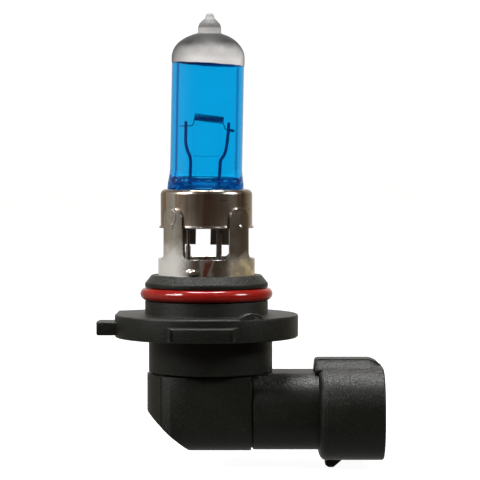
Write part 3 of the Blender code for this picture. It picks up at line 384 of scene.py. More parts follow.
class Value:
    """A node's output, with arithmetic that adds Math nodes to the same material."""

    def __init__(self, finish, socket):
        self.finish = finish
        self.socket = socket

    def math(self, operation, *others):
        values = {index: item for index, item in enumerate((self, *others))}
        return self.finish.add("ShaderNodeMath", {"operation": operation}, values)

    def __add__(self, other):
        return self.math("ADD", other)

    __radd__ = __add__

    def __sub__(self, other):
        return self.math("SUBTRACT", other)

    def __rsub__(self, other):
        return self.finish.add("ShaderNodeMath", {"operation": "SUBTRACT"}, {0: other, 1: self})

    def __mul__(self, other):
        return self.math("MULTIPLY", other)

    __rmul__ = __mul__

    def __truediv__(self, other):
        return self.math("DIVIDE", other)

    def __pow__(self, other):
        return self.math("POWER", other)

    def clip(self):
        """The value held between 0 and 1."""
        return self.finish.add("ShaderNodeClamp", {}, {"Value": self})

    def rise(self, start, end):
        """0 below start, 1 above end, and smooth between them."""
        settings = {"interpolation_type": "SMOOTHSTEP"}
        values = {"Value": self, "From Min": start, "From Max": end}
        return self.finish.add("ShaderNodeMapRange", settings, values)


class Finish:
    """One material with a Principled shader, and the way that its nodes are added."""

    def __init__(self, name, metallic=0.0, roughness=0.5, kind="material", **uniform):
        if kind == "world":
            self.material = bpy.data.worlds.new(name)
            bpy.context.scene.world = self.material
        else:
            self.material = bpy.data.materials.new(name)
        self.material.use_nodes = True
        self.tree = self.material.node_tree
        if kind == "world":
            self.shader = self.tree.nodes["Background"]
            return
        self.shader = self.tree.nodes["Principled BSDF"]
        self.shader.inputs["Metallic"].default_value = metallic
        self.shader.inputs["Roughness"].default_value = roughness
        for name, value in uniform.items():
            self.shader.inputs[name.replace("_", " ")].default_value = value

    def add(self, kind, settings, values, output=0):
        """Add a node: its settings first, then the values or links of its sockets."""
        node = self.tree.nodes.new(kind)
        for name, value in settings.items():
            if name == "stops":
                self.set_stops(node.color_ramp, value)
            else:
                setattr(node, name, value)
        for name, value in values.items():
            if isinstance(value, Value):
                self.tree.links.new(value.socket, node.inputs[name])
            else:
                node.inputs[name].default_value = value
        return Value(self, node.outputs[output])

    @staticmethod
    def set_stops(ramp, stops):
        """Fill a colour ramp from (place, colour) pairs."""
        while len(ramp.elements) > 1:
            ramp.elements.remove(ramp.elements[-1])
        ramp.elements[0].position, ramp.elements[0].color = stops[0]
        for place_on_ramp, shade in stops[1:]:
            ramp.elements.new(place_on_ramp).color = shade

    def place(self, stretch=(1.0, 1.0, 1.0)):
        """Object coordinates, stretched by a Mapping node."""
        where = self.add("ShaderNodeTexCoord", {}, {}, output="Object")
        return self.add("ShaderNodeMapping", {}, {"Vector": where, "Scale": stretch})

    def height(self):
        """The height of the point, in metres."""
        return self.add("ShaderNodeSeparateXYZ", {}, {"Vector": self.place()}, output="Z")

    def noise(self, scale, detail=3.0, stretch=(1.0, 1.0, 1.0), roughness=0.5):
        """Fractal noise over the object, about 0.5."""
        values = {"Scale": scale, "Detail": detail, "Roughness": roughness}
        return self.add("ShaderNodeTexNoise", {}, {"Vector": self.place(stretch), **values})

    def mix(self, share, low, high):
        """Blend two colours by a share."""
        values = {0: share, 6: self.rgba(low), 7: self.rgba(high)}
        return self.add("ShaderNodeMix", {"data_type": "RGBA"}, values, output=2)

    @staticmethod
    def rgba(shade):
        """A colour with its alpha, or a linked colour as it is."""
        return shade if isinstance(shade, Value) else (*shade, 1.0)

    def bump(self, height, strength, distance):
        """Feed the shader's normal from a height field."""
        values = {"Height": height, "Strength": strength, "Distance": distance}
        self.feed("Normal", self.add("ShaderNodeBump", {}, values))

    def feed(self, name, value):
        """Link a value to one of the shader's inputs, or set it."""
        if isinstance(value, Value):
            self.tree.links.new(value.socket, self.shader.inputs[name])
        else:
            self.shader.inputs[name].default_value = value


# ---------------------------------------------------------------- finishes

def tinted(shade, share):
    """A colour times a number, or times a number for each of red, green and blue."""
    shares = np.broadcast_to(share, 3)
    return tuple(float(value * part) for value, part in zip(shade, shares))


def coated_quartz(settings):
    """Quartz: a blue coat on the outer skin only, with faint drifts in its depth and a deeper
    blue at a glancing angle; a painted dark line of shade over each edge of the bore; a
    painted shadow in a sliver under the paint; a painted navy shade at the foot above the
    pinch, with a faint painted glow of scattered light over the outer skin, strongest at the
    foot; and a fine darker arc across the front of the bore."""
    finish = Finish(
        "coated_quartz", roughness=0.0, Transmission_Weight=1.0, IOR=1.46,
        Emission_Strength=1.0, Specular_IOR_Level=0.2,
    )
    edge_blue = tuple(settings.edge_colour)
    glance = finish.add("ShaderNodeLayerWeight", {}, {"Blend": 0.5}, output="Facing")
    behind = finish.add("ShaderNodeNewGeometry", {}, {}, output="Backfacing")
    outer = finish.add("ShaderNodeAttribute", {"attribute_name": "coat"}, {}, output="Fac")
    outer = outer * finish.height().rise(15.5 * MM, 17.5 * MM)
    where = finish.place()
    across = finish.add("ShaderNodeSeparateXYZ", {}, {"Vector": where}, output="X")
    toward = finish.add("ShaderNodeSeparateXYZ", {}, {"Vector": where}, output="Y")
    height = finish.height()
    drift = finish.noise(300.0, 2.0)
    coat = finish.mix(drift * 0.12, tuple(settings.coat_colour), edge_blue)
    coat = finish.mix(glance.rise(0.72, 0.97) * 0.7, coat, edge_blue)
    # Painted shade: a dark line on the coat where the view grazes past each edge of the bore.
    wall = glance.rise(0.385, 0.43) * (1.0 - glance.rise(0.475, 0.52)) * (1.0 - behind)
    depth_of_line = 0.70 + across.rise(2.0 * MM, -2.0 * MM) * 0.28
    coat = finish.mix(wall * depth_of_line, coat, (0.0, 0.035, 0.19))
    front = toward.rise(-1.0 * MM, -3.0 * MM)
    # Painted shadow: a dark sliver on the front, just under the paint's edge.
    under_paint = height - (across * across) * 19.5 - 40.0 * MM
    paint_shadow = under_paint.rise(-0.05 * MM, 0.05 * MM) * front
    coat = finish.mix(paint_shadow * 0.9, coat, (0.0, 0.012, 0.05))
    # Painted shade: a navy foot above the pinch, standing for the dark refraction of the thick glass.
    wave = finish.noise(520.0, 2.0, (1.0, 1.0, 0.3))
    foot = (height + (wave - 0.5) * (1.6 * MM)).rise(22.0 * MM, 20.9 * MM)
    coat = finish.mix(foot * 0.68, coat, (0.0008, 0.06, 0.24))
    # A fine darker arc across the front of the bore, on its inner face.
    off_arc = (height - (across * across) * 28.0 - 25.45 * MM).math("ABSOLUTE")
    dark_arc = off_arc.rise(0.14 * MM, 0.03 * MM)
    dark_arc = dark_arc * across.math("ABSOLUTE").rise(2.2 * MM, 1.7 * MM) * front
    # Painted shade: the bore's inner face turns dark blue where it is seen at a glancing angle.
    bore_edge_shade = glance.rise(0.60, 0.85) * (1.0 - behind)
    inner = finish.mix(bore_edge_shade, (1.0, 1.0, 1.0), (0.05, 0.25, 0.45))
    inner = finish.mix(dark_arc * 0.8, inner, (0.12, 0.30, 0.50))
    finish.feed("Base Color", finish.mix(outer, inner, coat))
    # Painted glow of scattered light: a faint blue emission over the outer skin, strongest at the foot.
    glow = finish.mix(foot, (0.0, 0.004, 0.022), (0.0005, 0.022, 0.095))
    finish.feed("Emission Color", finish.mix(outer, (0.0, 0.0, 0.0), glow))
    return finish.material


def cap_paint(settings):
    """Satin silver-grey paint with painted shade towards the top of the dome and to the left,
    a painted highlight at the foot of the tip and on its knob, painted shade at the tip's neck
    and at a glancing angle, and a fine sprayed grain."""
    finish = Finish("cap_paint", roughness=0.5, Specular_IOR_Level=0.08)
    drift = finish.noise(230.0, 3.0, (1.0, 1.0, 1.6))
    grain = finish.noise(5200.0, 2.0)
    height = finish.height() + drift * (1.6 * MM)
    light = tuple(settings.paint_colour)
    # Painted shade: a dark tone for the dome's top and its left side, where less light falls.
    dull = tinted(light, 0.035)
    side = finish.add("ShaderNodeSeparateXYZ", {}, {"Vector": finish.place()}, output="X")
    shaded = (side + (drift - 0.5) * (2.0 * MM)).rise(-1.5 * MM, -5.6 * MM)
    dome = finish.mix(height.rise(41.7 * MM, 44.9 * MM) ** 0.8, light, dull)
    dome = finish.mix(shaded * 0.66, dome, dull)
    level = finish.height()
    # Painted highlight at the foot of the tip and on its knob, painted shade at its neck.
    tip_foot = finish.mix(level.rise(45.1 * MM, 45.35 * MM), dome, tinted(light, 0.55))
    tip_neck = finish.mix(level.rise(46.0 * MM, 46.4 * MM), tip_foot, tinted(light, 0.20))
    knob = finish.mix(level.rise(47.3 * MM, 47.9 * MM), tip_neck, (0.36, 0.36, 0.355))
    # Painted shade: darker at a glancing angle, standing for the dark surroundings mirrored there.
    glance = finish.add("ShaderNodeLayerWeight", {}, {"Blend": 0.5}, output="Facing")
    edged = finish.mix(glance.rise(0.45, 1.0) * 0.9, knob, (0.05, 0.05, 0.048))
    finish.feed("Base Color", finish.mix(grain.rise(0.35, 0.75) * 0.06, edged, (0.40, 0.40, 0.39)))
    finish.feed("Roughness", 0.42 + drift * 0.18)
    finish.bump(grain, 0.2, 0.02 * MM)
    return finish.material


def drawn_wire(name, shade, roughness):
    """Bare wire with faint drawing marks."""
    finish = Finish(name, metallic=1.0, roughness=roughness)
    marks = finish.noise(3000.0, 2.0, (1.0, 1.0, 0.15))
    finish.feed("Base Color", finish.mix(marks, shade, tinted(shade, 0.65)))
    finish.feed("Roughness", marks * 0.2 + (roughness - 0.1))
    finish.bump(marks, 0.15, 0.01 * MM)
    return finish.material


def pressed_steel(name, shade, roughness, warm=0.35, streaks=0.0):
    """Bright pressed sheet: rolling marks, smudges, a straw tint in patches, and upright
    brown streaks where asked for."""
    finish = Finish(name, metallic=1.0, roughness=roughness)
    smudge = finish.noise(220.0, 4.0, (1.0, 1.0, 0.6))
    rolled = finish.noise(1500.0, 2.0, (1.0, 1.0, 0.04))
    straw = tinted(shade, (1.0, 0.80, 0.58))
    tint = finish.mix(smudge.rise(0.45, 0.75) * warm, shade, straw)
    if streaks:
        upright = finish.noise(620.0, 3.0, (1.0, 1.0, 0.05), 0.6)
        brown = tinted(shade, (0.62, 0.42, 0.28))
        tint = finish.mix(upright.rise(0.44, 0.62) * streaks, tint, brown)
        scuffs = finish.noise(1300.0, 3.0, (0.35, 0.35, 1.6), 0.6)
        tint = finish.mix(scuffs.rise(0.60, 0.72) * streaks * 0.8, tint, tinted(shade, 0.45))
    finish.feed("Base Color", finish.mix(rolled.rise(0.4, 0.8) * 0.3, tint, tinted(shade, 0.6)))
    finish.feed("Roughness", smudge * 0.16 + rolled * 0.08 + (roughness - 0.12))
    finish.bump(rolled + smudge * 1.5, 0.10, 0.02 * MM)
    return finish.material


def ring_steel(shade):
    """The ring's sheet: bright steel above; on the band, a painted pale highlight to the left,
    a painted tan highlight to the right and a painted red-brown reflection in front, each
    matt with a drifting edge."""
    finish = Finish("ring_steel", metallic=1.0, roughness=0.20)
    where = finish.place()
    side = finish.add("ShaderNodeSeparateXYZ", {}, {"Vector": where}, output="X")
    drift = finish.noise(420.0, 3.0)
    rolled = finish.noise(1500.0, 2.0, (1.0, 1.0, 0.04))
    speck = finish.noise(1900.0, 3.0)
    blot = finish.noise(900.0, 4.0, roughness=0.65)
    across = side + (drift - 0.5) * (2.6 * MM) + (blot - 0.5) * (1.2 * MM)
    band = (finish.height() + (drift - 0.5) * (3.0 * MM)).rise(10.4 * MM, 8.0 * MM)
    left = across.rise(-1.4 * MM, -5.2 * MM)
    right = across.rise(2.4 * MM, 5.4 * MM)
    # Painted reflection: red-brown on the front of the band.
    red_reflection = (across - 0.2 * MM).math("ABSOLUTE").rise(1.5 * MM, 0.3 * MM) * band
    metal = finish.mix(rolled.rise(0.4, 0.8) * 0.35, shade, tinted(shade, 0.6))
    metal = finish.mix(speck.rise(0.54, 0.74) * 0.22, metal, tinted(shade, 0.30))
    # Painted highlight: pale and matt on the lower left of the ring.
    left_height = finish.height() + (drift - 0.5) * (4.0 * MM)
    left_band = left * left_height.rise(12.8 * MM, 8.2 * MM)
    colour_left = finish.mix(left_band, metal, (0.78, 0.77, 0.73))
    # Painted highlight: a blotchy tan on the band's right side.
    tan_highlight = finish.mix(drift.rise(0.38, 0.60), (0.66, 0.54, 0.30), (0.34, 0.28, 0.19))
    colour_right = finish.mix(right * band, colour_left, tan_highlight)
    finish.feed("Base Color", finish.mix(red_reflection, colour_right, (0.10, 0.030, 0.018)))
    frost = (left_band * 0.62 + right * band * 0.65 + red_reflection * 0.55).clip()
    finish.feed("Metallic", 1.0 - frost)
    finish.feed("Roughness", 0.14 + drift * 0.14 + frost * 0.18)
    finish.bump(rolled + speck * 0.8, 0.15, 0.03 * MM)
    return finish.material


def grained_moulding(name, shade, roughness=0.42):
    """Black moulded plastic: fine spark grain, flow variation, and a grey bloom on the edges
    and slopes that face up, partly dust and partly painted highlight from the light above."""
    finish = Finish(name, roughness=roughness, Specular_IOR_Level=0.25)
    grain = finish.noise(3600.0, 3.0, roughness=0.62)
    fine = finish.noise(9000.0, 2.0)
    flow = finish.noise(160.0, 3.0)
    pale = tuple(2.1 * value + 0.002 for value in shade)
    body = finish.mix(flow.rise(0.35, 0.75) * 0.45, shade, pale)
    body = finish.mix(grain.rise(0.55, 0.75) * 0.7, body, tinted(shade, 5.0))
    facing = finish.add("ShaderNodeNewGeometry", {}, {}, output="Normal")
    upward = finish.add("ShaderNodeSeparateXYZ", {}, {"Vector": facing}, output="Z")
    # Partly dust and partly painted highlight: a grey bloom on the edges and slopes that face the light
    # above.
    slopes = upward.rise(0.48, 0.74) * (1.0 - upward.rise(0.96, 1.0) * 0.75)
    dust = slopes * grain.rise(0.40, 0.62)
    finish.feed("Base Color", finish.mix(dust * 0.55, body, (0.100, 0.097, 0.092)))
    finish.feed("Roughness", grain * 0.18 + (roughness - 0.09))
    finish.bump(grain + fine * 0.5, 0.8, 0.075 * MM)
    return finish.material


def sealing_rubber(settings):
    """Red silicone: smooth gloss with faint dust."""
    finish = Finish("sealing_rubber", roughness=0.26, Specular_IOR_Level=0.55)
    dust = finish.noise(2600.0, 3.0)
    cloud = finish.noise(300.0, 2.0)
    red = tuple(settings.seal_colour)
    body = finish.mix(cloud.rise(0.35, 0.7) * 0.6, red, tinted(red, 0.72))
    finish.feed("Base Color", finish.mix(dust.rise(0.62, 0.85) * 0.3, body, (0.45, 0.16, 0.13)))
    finish.feed("Roughness", 0.10 + dust * 0.08)
    finish.bump(cloud + dust * 0.3, 0.12, 0.03 * MM)
    return finish.material


# ---------------------------------------------------------------- quartz capsule

# The exhaust tip: radius and height, in millimetres.
TIP_PROFILE = (
    (1.86, 45.33), (1.80, 45.55), (1.80, 46.00), (1.76, 46.40), (1.61, 46.85), (1.36, 47.12),
    (1.06, 47.42), (0.78, 47.72), (0.65, 48.00), (0.55, 48.32), (0.33, 48.56), (0.05, 48.64),
)
# Heights between which the sections ease off the axis to the tip's own centre.
TIP_SHIFT = (43.5 * MM, 45.3 * MM)


def capsule_outside(settings):
    """Heights, half widths, half depths, squareness and offsets of the outer sections.

    The pinch is a rounded rectangle; it eases through the flare to the round tube; the dome
    is half an ellipse; and the tip is a smooth curve through a few radii.
    """
    tube = settings.tube_radius
    foot = np.array([14.60, 14.66, 14.80, 15.05]) * MM
    foot_inset = np.array([0.30, 0.12, 0.03, 0.0]) * MM
    body = np.linspace(15.6 * MM, 18.9 * MM, 6)
    flare = np.linspace(19.1 * MM, 24.0 * MM, 60)
    z_low = np.concatenate([foot, body, flare])
    inset = np.concatenate([foot_inset, np.zeros(len(body) + len(flare))])
    rise = ease(z_low, 19.4 * MM, 20.4 * MM)
    fall = ease(z_low, 20.4 * MM, 23.6 * MM)
    pinch_x = settings.pinch_half_width
    pinch_y = settings.pinch_half_depth
    flare_x = settings.flare_half_width
    half_x = pinch_x - inset + (flare_x - pinch_x) * rise + (tube - flare_x) * fall
    half_y = pinch_y - inset + (tube - pinch_y) * ease(z_low, 19.3 * MM, 21.6 * MM)
    power = 7.0 - 5.0 * ease(z_low, 19.3 * MM, 20.9 * MM)
    straight = np.linspace(24.4 * MM, settings.dome_centre, 24, endpoint=False)
    swing_end = math.acos(1.90 * MM / tube)
    swing = np.linspace(0.0, swing_end, 36)
    dome_r = tube * np.cos(swing)
    dome_z = settings.dome_centre + settings.dome_height * np.sin(swing)
    tip = smooth_through(np.array(TIP_PROFILE) * MM, 6)
    tip = tip[tip[:, 1] > dome_z[-1] + 0.05 * MM]
    z_high = np.concatenate([straight, dome_z, tip[:, 1]])
    radius = np.concatenate([np.full(len(straight), tube), dome_r, tip[:, 0]])
    z = np.concatenate([z_low, z_high])
    half_x = np.concatenate([half_x, radius])
    half_y = np.concatenate([half_y, radius])
    power = np.concatenate([power, np.full(len(radius), 2.0)])
    offset = settings.tip_offset * ease(z, *TIP_SHIFT)
    return z, half_x, half_y, power, offset


def capsule_inside(settings):
    """Sections of the gas space: a rounded floor just above the pinch, the bore and the dome."""
    bore = settings.bore_radius
    swing = np.radians(np.linspace(-88.0, 0.0, 26))
    floor_z = 22.4 * MM + 1.5 * MM * np.sin(swing)
    spread = np.cos(swing)
    floor_x = (bore + 0.30 * MM * (1.0 - ease(floor_z, 21.2 * MM, 22.4 * MM))) * spread ** 0.5
    floor_y = bore * spread ** 0.8
    straight = np.linspace(22.6 * MM, settings.dome_centre, 18, endpoint=False)
    swing = np.radians(np.linspace(0.0, 88.0, 26))
    dome_r = bore * np.cos(swing)
    dome_z = settings.dome_centre + 3.10 * MM * np.sin(swing)
    z = np.concatenate([floor_z, straight, dome_z])
    half_x = np.concatenate([floor_x, np.full(len(straight), bore), dome_r])
    half_y = np.concatenate([floor_y, np.full(len(straight), bore), dome_r])
    return z, half_x, half_y, np.full(len(z), 2.0), np.zeros(len(z))


def cap_surface(settings):
    """The paint: the dome's and the tip's own curve pushed out by the paint, closed by its
    inner face; its lower edge drops as the cosine of the azimuth."""
    tube = settings.tube_radius
    low = np.linspace(settings.paint_edge, settings.dome_centre, 8, endpoint=False)
    swing = np.linspace(0.0, math.acos(2.25 * MM / tube), 40)
    dome_z = settings.dome_centre + settings.dome_height * np.sin(swing)
    dome = np.column_stack([tube * np.cos(swing), dome_z])
    tip = smooth_through(np.array(TIP_PROFILE) * MM, 6)
    curve = np.vstack([np.column_stack([np.full(len(low), tube), low]), dome, tip])
    slope = np.gradient(curve, axis=0)
    slope /= np.linalg.norm(slope, axis=1, keepdims=True)
    outward = np.column_stack([slope[:, 1], -slope[:, 0]])
    skin_out = 0.05 * MM
    skin_in = 0.012 * MM
    pole = 0.02 * MM
    outer = curve + outward * skin_out
    inner = curve + outward * skin_in
    outer[0] = curve[0] + outward[0] * 0.03 * MM
    outer[-1] = (pole, curve[-1, 1] + skin_out)
    inner[-1] = (pole, curve[-1, 1] + skin_in)
    loop = np.vstack([outer, inner[::-1]])
    angle = np.linspace(0.0, 2.0 * math.pi, 128, endpoint=False)
    x = loop[:, :1] * np.cos(angle) + settings.tip_offset * ease(loop[:, 1:], *TIP_SHIFT)
    y = loop[:, :1] * np.sin(angle)
    share = 1.0 - ease(loop[:, 1:], settings.paint_edge, settings.dome_centre + 0.5 * MM)
    ripple = 0.02 * MM * np.sin(7.0 * angle) + 0.015 * MM * np.sin(13.0 * angle + 1.0)
    z = loop[:, 1:] + share * (ripple - settings.paint_slope * np.cos(angle))
    return skin(np.stack([x, y, z], axis=-1), wrap_rows=True)


def coil_path(settings):
    """The coil: a helix about a line across the capsule, which tilts to the right."""
    start = np.array([-2.06, 0.0, 31.85]) * MM
    end = np.array([2.66, 0.0, 31.36]) * MM
    along = (end - start) / np.linalg.norm(end - start)
    up = np.array([-along[2], 0.0, along[0]])
    across = np.array([0.0, 1.0, 0.0])
    radius = (settings.coil_diameter - settings.wire_diameter) / 2.0
    share = np.linspace(0.0, 1.0, settings.coil_turns * 28 + 1)[:, None]
    angle = 2.0 * math.pi * settings.coil_turns * share - math.pi / 2.0
    path = start + (end - start) * share + up * radius * np.sin(angle) + across * radius * np.cos(angle)
    return path, along


# Middle lines of the coil's tails, the weld bead and the leads, in millimetres, upright.
LEFT_TAIL = (
    (-2.06, 0.00, 31.32), (-2.13, -0.16, 31.00), (-2.24, -0.34, 30.62), (-2.45, -0.46, 30.42),
    (-2.80, -0.49, 30.36), (-3.42, -0.49, 30.33), (-4.00, -0.49, 30.32), (-4.40, -0.49, 30.30),
)
RIGHT_TAIL = (
    (2.66, 0.00, 30.83), (2.76, -0.16, 30.52), (2.86, -0.36, 30.18), (3.00, -0.47, 29.92),
    (3.24, -0.49, 29.82), (3.60, -0.49, 29.78), (3.95, -0.49, 29.74),
)
WELD_BEAD = ((3.82, -0.49, 29.75), (4.05, -0.49, 29.72), (4.24, -0.49, 29.68))
LEAD_KNOTS = {
    "support_lead_left": (
        (-2.60, 0.0, 19.75), (-2.60, 0.0, 21.60), (-2.53, 0.0, 24.15), (-2.66, 0.0, 25.40),
        (-3.04, 0.0, 26.30), (-3.38, 0.0, 27.60), (-3.40, 0.0, 29.00), (-3.42, 0.0, 30.90),
    ),
    "support_lead_right": (
        (2.22, 0.0, 19.75), (2.22, 0.0, 21.60), (2.26, 0.0, 24.35), (2.42, 0.0, 25.10),
        (2.86, 0.0, 25.75), (3.14, 0.0, 26.60), (3.32, 0.0, 27.80), (3.46, 0.0, 29.20),
        (3.53, 0.0, 30.80),
    ),
}
OUTER_LEAD_HEIGHTS = (16.1, 12.0, 7.5)


def leaning(surface, settings):
    """A surface leant with the capsule."""
    points, faces = surface
    return lean(points, settings), faces


class BULB_OT_glass(Operator):
    """Build the quartz capsule and its cap paint"""

    bl_idname = "bulb.glass"
    bl_label = "Glass and cap paint"

    def execute(self, context):
        settings = context.scene.bulb_capsule
        outside = skin(squircle_rings(*capsule_outside(settings), 128))
        inside_points, inside_faces = skin(squircle_rings(*capsule_inside(settings), 96))
        inside = (inside_points, [face[::-1] for face in inside_faces])
        surfaces = [leaning(outside, settings), leaning(inside, settings)]
        glass = place("quartz_capsule", make_mesh("quartz_capsule", surfaces, 50.0))
        coat = glass.data.attributes.new("coat", "FLOAT", "POINT")
        coat.data.foreach_set("value", np.repeat([1.0, 0.0], [len(outside[0]), len(inside_points)]))
        settle(glass, coated_quartz(settings), ["glass_envelope"])
        paint = place("cap_paint", make_mesh("cap_paint", [leaning(cap_surface(settings), settings)], 60.0))
        settle(paint, cap_paint(settings))
        return {"FINISHED"}


class BULB_OT_filament(Operator):
    """Build the filament, the leads and the foils"""

    bl_idname = "bulb.filament"
    bl_label = "Filament and leads"

    def execute(self, context):
        settings = context.scene.bulb_capsule
        path, along = coil_path(settings)
        wire = settings.wire_diameter / 2.0
        surfaces = [wire_surface(path, wire, 10, along)]
        for tail in (LEFT_TAIL, RIGHT_TAIL):
            surfaces.append(wire_surface(smooth_through(np.array(tail) * MM, 5), wire, 10))
        surfaces.append(wire_surface(np.array(WELD_BEAD) * MM, 0.24 * MM, 16))
        coil = place("coil", make_mesh("coil", [leaning(item, settings) for item in surfaces], 60.0))
        # The coil's and the leads' dark blue-violet is painted shade and blue cast from the coated glass
        # round them; the metal itself is grey.
        coil_finish = drawn_wire("tungsten_wire", (0.05, 0.035, 0.17), 0.45)
        settle(coil, coil_finish, ["filament_coil"])
        lead_finish = drawn_wire("lead_wire", (0.05, 0.032, 0.17), 0.42)
        for node, knots in LEAD_KNOTS.items():
            route = smooth_through(np.array(knots) * MM, 8)
            surface = leaning(wire_surface(route, settings.lead_diameter / 2.0, 24), settings)
            mesh = make_mesh(node + "_shape", [surface], 50.0)
            lead = place(node.replace("support_lead", "lead"), mesh)
            settle(lead, lead_finish, [node])
        tail_finish = drawn_wire("tail_wire", (0.40, 0.37, 0.33), 0.35)
        for side in ("left", "right"):
            x = LEAD_KNOTS["support_lead_" + side][0][0]
            ends = np.array([(x, 0.0, z) for z in OUTER_LEAD_HEIGHTS]) * MM
            surface = leaning(wire_surface(smooth_through(ends, 6), 0.25 * MM, 24), settings)
            node = "outer_lead_" + side
            lead = place("tail_wire_" + side, make_mesh(node + "_shape", [surface], 50.0))
            settle(lead, tail_finish, [node])
        foil_finish = pressed_steel("rolled_foil", (0.55, 0.55, 0.56), 0.30, 0.1)
        refinish("pinch_foil_left", foil_finish)
        refinish("pinch_foil_right", foil_finish)
        return {"FINISHED"}


# ---------------------------------------------------------------- steel pieces

ARM_COUNT = 4
ARM_PITCH = 360.0 / ARM_COUNT
FIRST_ARM = 45.0
COLLAR_HOLE = 6.55 * MM


def cup_surface(settings):
    """The cup: its section carried round the axis, the brim's reach fading out where each
    arm passes."""
    outer = settings.cup_radius
    inner = outer - settings.cup_sheet
    top = float(CUP_HIGH[2])
    bottom = float(CUP_LOW[2])
    corner = settings.cup_shoulder
    centre = (outer - corner, top - corner)
    hole = COLLAR_HOLE
    brim = settings.brim_radius
    edge = 0.08 * MM
    profile = np.vstack([
        [(inner, bottom + edge), (inner + edge, bottom)],
        [(brim - edge, bottom), (brim, bottom + edge)],
        [(brim, bottom + 0.22 * MM), (brim - edge, bottom + 0.30 * MM)],
        arc_points((outer + 0.15 * MM, bottom + 0.45 * MM), 0.15 * MM, 270.0, 180.0, 4),
        [(outer, 0.5 * (bottom + top)), (outer, top - corner - 0.05 * MM)],
        arc_points(centre, corner, 0.0, 90.0, 14),
        [(hole + edge, top), (hole, top - edge), (hole, top - settings.cup_sheet)],
        arc_points(centre, corner - settings.cup_sheet, 90.0, 0.0, 8),
    ])
    angle = np.linspace(0.0, 2.0 * math.pi, 288, endpoint=False)
    from_arm = np.abs(np.degrees(angle) % ARM_PITCH - FIRST_ARM)
    gate = np.degrees((settings.arm_half_width + 0.25 * MM) / outer)
    share = ease(from_arm, gate, gate + 2.0)[None, :]
    over = np.maximum(profile[:, :1] - outer, 0.0)
    radius = profile[:, :1] - over * (1.0 - share)
    z = np.broadcast_to(profile[:, 1:], radius.shape)
    return skin(np.stack([radius * np.cos(angle), radius * np.sin(angle), z], axis=-1), wrap_rows=True)


def ring_top_edge(settings):
    """Distance along the band from an arm's middle, with the height of the top edge: the
    arm's round top, its straight side, and a quarter circle that flares out at its root."""
    half = settings.arm_half_width
    corner = 1.90 * MM
    fillet = 1.00 * MM
    top = float(RING_HIGH[2])
    swing = np.radians(np.linspace(0.0, 90.0, 9))
    root = np.column_stack([
        half + 0.02 * MM + fillet * (1.0 - np.cos(swing)),
        settings.band_top + fillet * (1.0 - np.sin(swing)),
    ])
    reach = half * np.linspace(0.04, 0.96, 24)
    lift = np.sqrt(np.maximum(corner ** 2 - np.maximum(reach - (half - corner), 0.0) ** 2, 0.0)) - corner
    crown = np.column_stack([reach, top + lift])
    return np.vstack([crown, [(half * 0.995, top - 0.80 * corner), (half, top - corner)], root])


def oval_line(across, along_z, centre, half_width, half_height, width=0.16):
    """1 along the line of an oval, falling as a bell curve to each side of it."""
    reach = np.hypot((across - centre[0]) / half_width, (along_z - centre[1]) / half_height)
    return np.exp(-((reach - 1.0) / width) ** 2)


def oval(across, along_z, centre, half_width, half_height):
    """1 in the middle of an oval spot, falling smoothly to 0 at its rim."""
    reach = np.hypot((across - centre[0]) / half_width, (along_z - centre[1]) / half_height)
    return 1.0 - ease(reach, 0.35, 1.0)


def ring_surface(settings):
    """The ring: a sheet wrapped round the axis between two radii, its top edge following the
    arms; welds and a lanced tang move both faces of the sheet in or out."""
    outer = float(RING_HIGH[0])
    inner = outer - settings.sheet
    middle = 0.5 * (inner + outer)
    edge_line = ring_top_edge(settings)
    half_line = np.vstack([np.column_stack([-edge_line[::-1, 0], edge_line[::-1, 1]]), edge_line])
    reach = half_line[:, 0] / middle
    gap = np.linspace(reach[-1], 0.5 * math.pi + reach[0], 22)[1:-1]
    one_arm = math.radians(FIRST_ARM) + np.concatenate([reach, gap])
    angle = np.concatenate([one_arm + arm * math.radians(ARM_PITCH) for arm in range(ARM_COUNT)])
    top = np.tile(np.concatenate([half_line[:, 1], np.full(len(gap), settings.band_top)]), ARM_COUNT)
    bottom = float(RING_LOW[2])
    edge = 0.07 * MM
    share = np.concatenate([np.linspace(0.0, 0.36, 24, endpoint=False), np.linspace(0.36, 1.0, 110)])
    height = bottom + (top[:, None] - bottom) * share[None, :]
    across_front = (angle[:, None] - math.radians(270.0)) * middle
    from_left = (angle[:, None] - math.radians(225.0)) * middle
    from_right = (angle[:, None] - math.radians(315.0)) * middle
    push = (
        0.05 * MM * oval_line(from_left, height, (-0.1 * MM, 15.75 * MM), 0.95 * MM, 1.15 * MM)
        - 0.04 * MM * oval_line(from_left, height, (-0.1 * MM, 15.75 * MM), 0.42 * MM, 0.62 * MM, 0.3)
        + 0.06 * MM * oval_line(from_left, height, (-0.1 * MM, 14.30 * MM), 0.40 * MM, 0.40 * MM, 0.3)
        + 0.10 * MM * oval(from_right, height, (0.1 * MM, 14.3 * MM), 0.40 * MM, 0.26 * MM)
        - 0.02 * MM * oval_line(from_right, height, (0.1 * MM, 15.8 * MM), 0.9 * MM, 0.9 * MM)
        + 0.34 * MM * oval(across_front, height, (-2.0 * MM, 6.95 * MM), 1.25 * MM, 0.62 * MM)
    )
    outside = outer + push
    inside = inner + push
    lowest = height[:, :1]
    highest = height[:, -1:]
    sheet_z = np.clip(height, lowest + edge, highest - edge)
    loop_r = np.concatenate([
        outside[:, :1] - edge, outside, outside[:, -1:] - edge,
        inside[:, -1:] + edge, inside[:, ::-1], inside[:, :1] + edge,
    ], axis=1)
    loop_z = np.concatenate([lowest, sheet_z, highest, highest, sheet_z[:, ::-1], lowest], axis=1)
    x = loop_r * np.cos(angle[:, None])
    y = loop_r * np.sin(angle[:, None])
    return skin(np.stack([x, y, loop_z], axis=-1), wrap_rows=True)


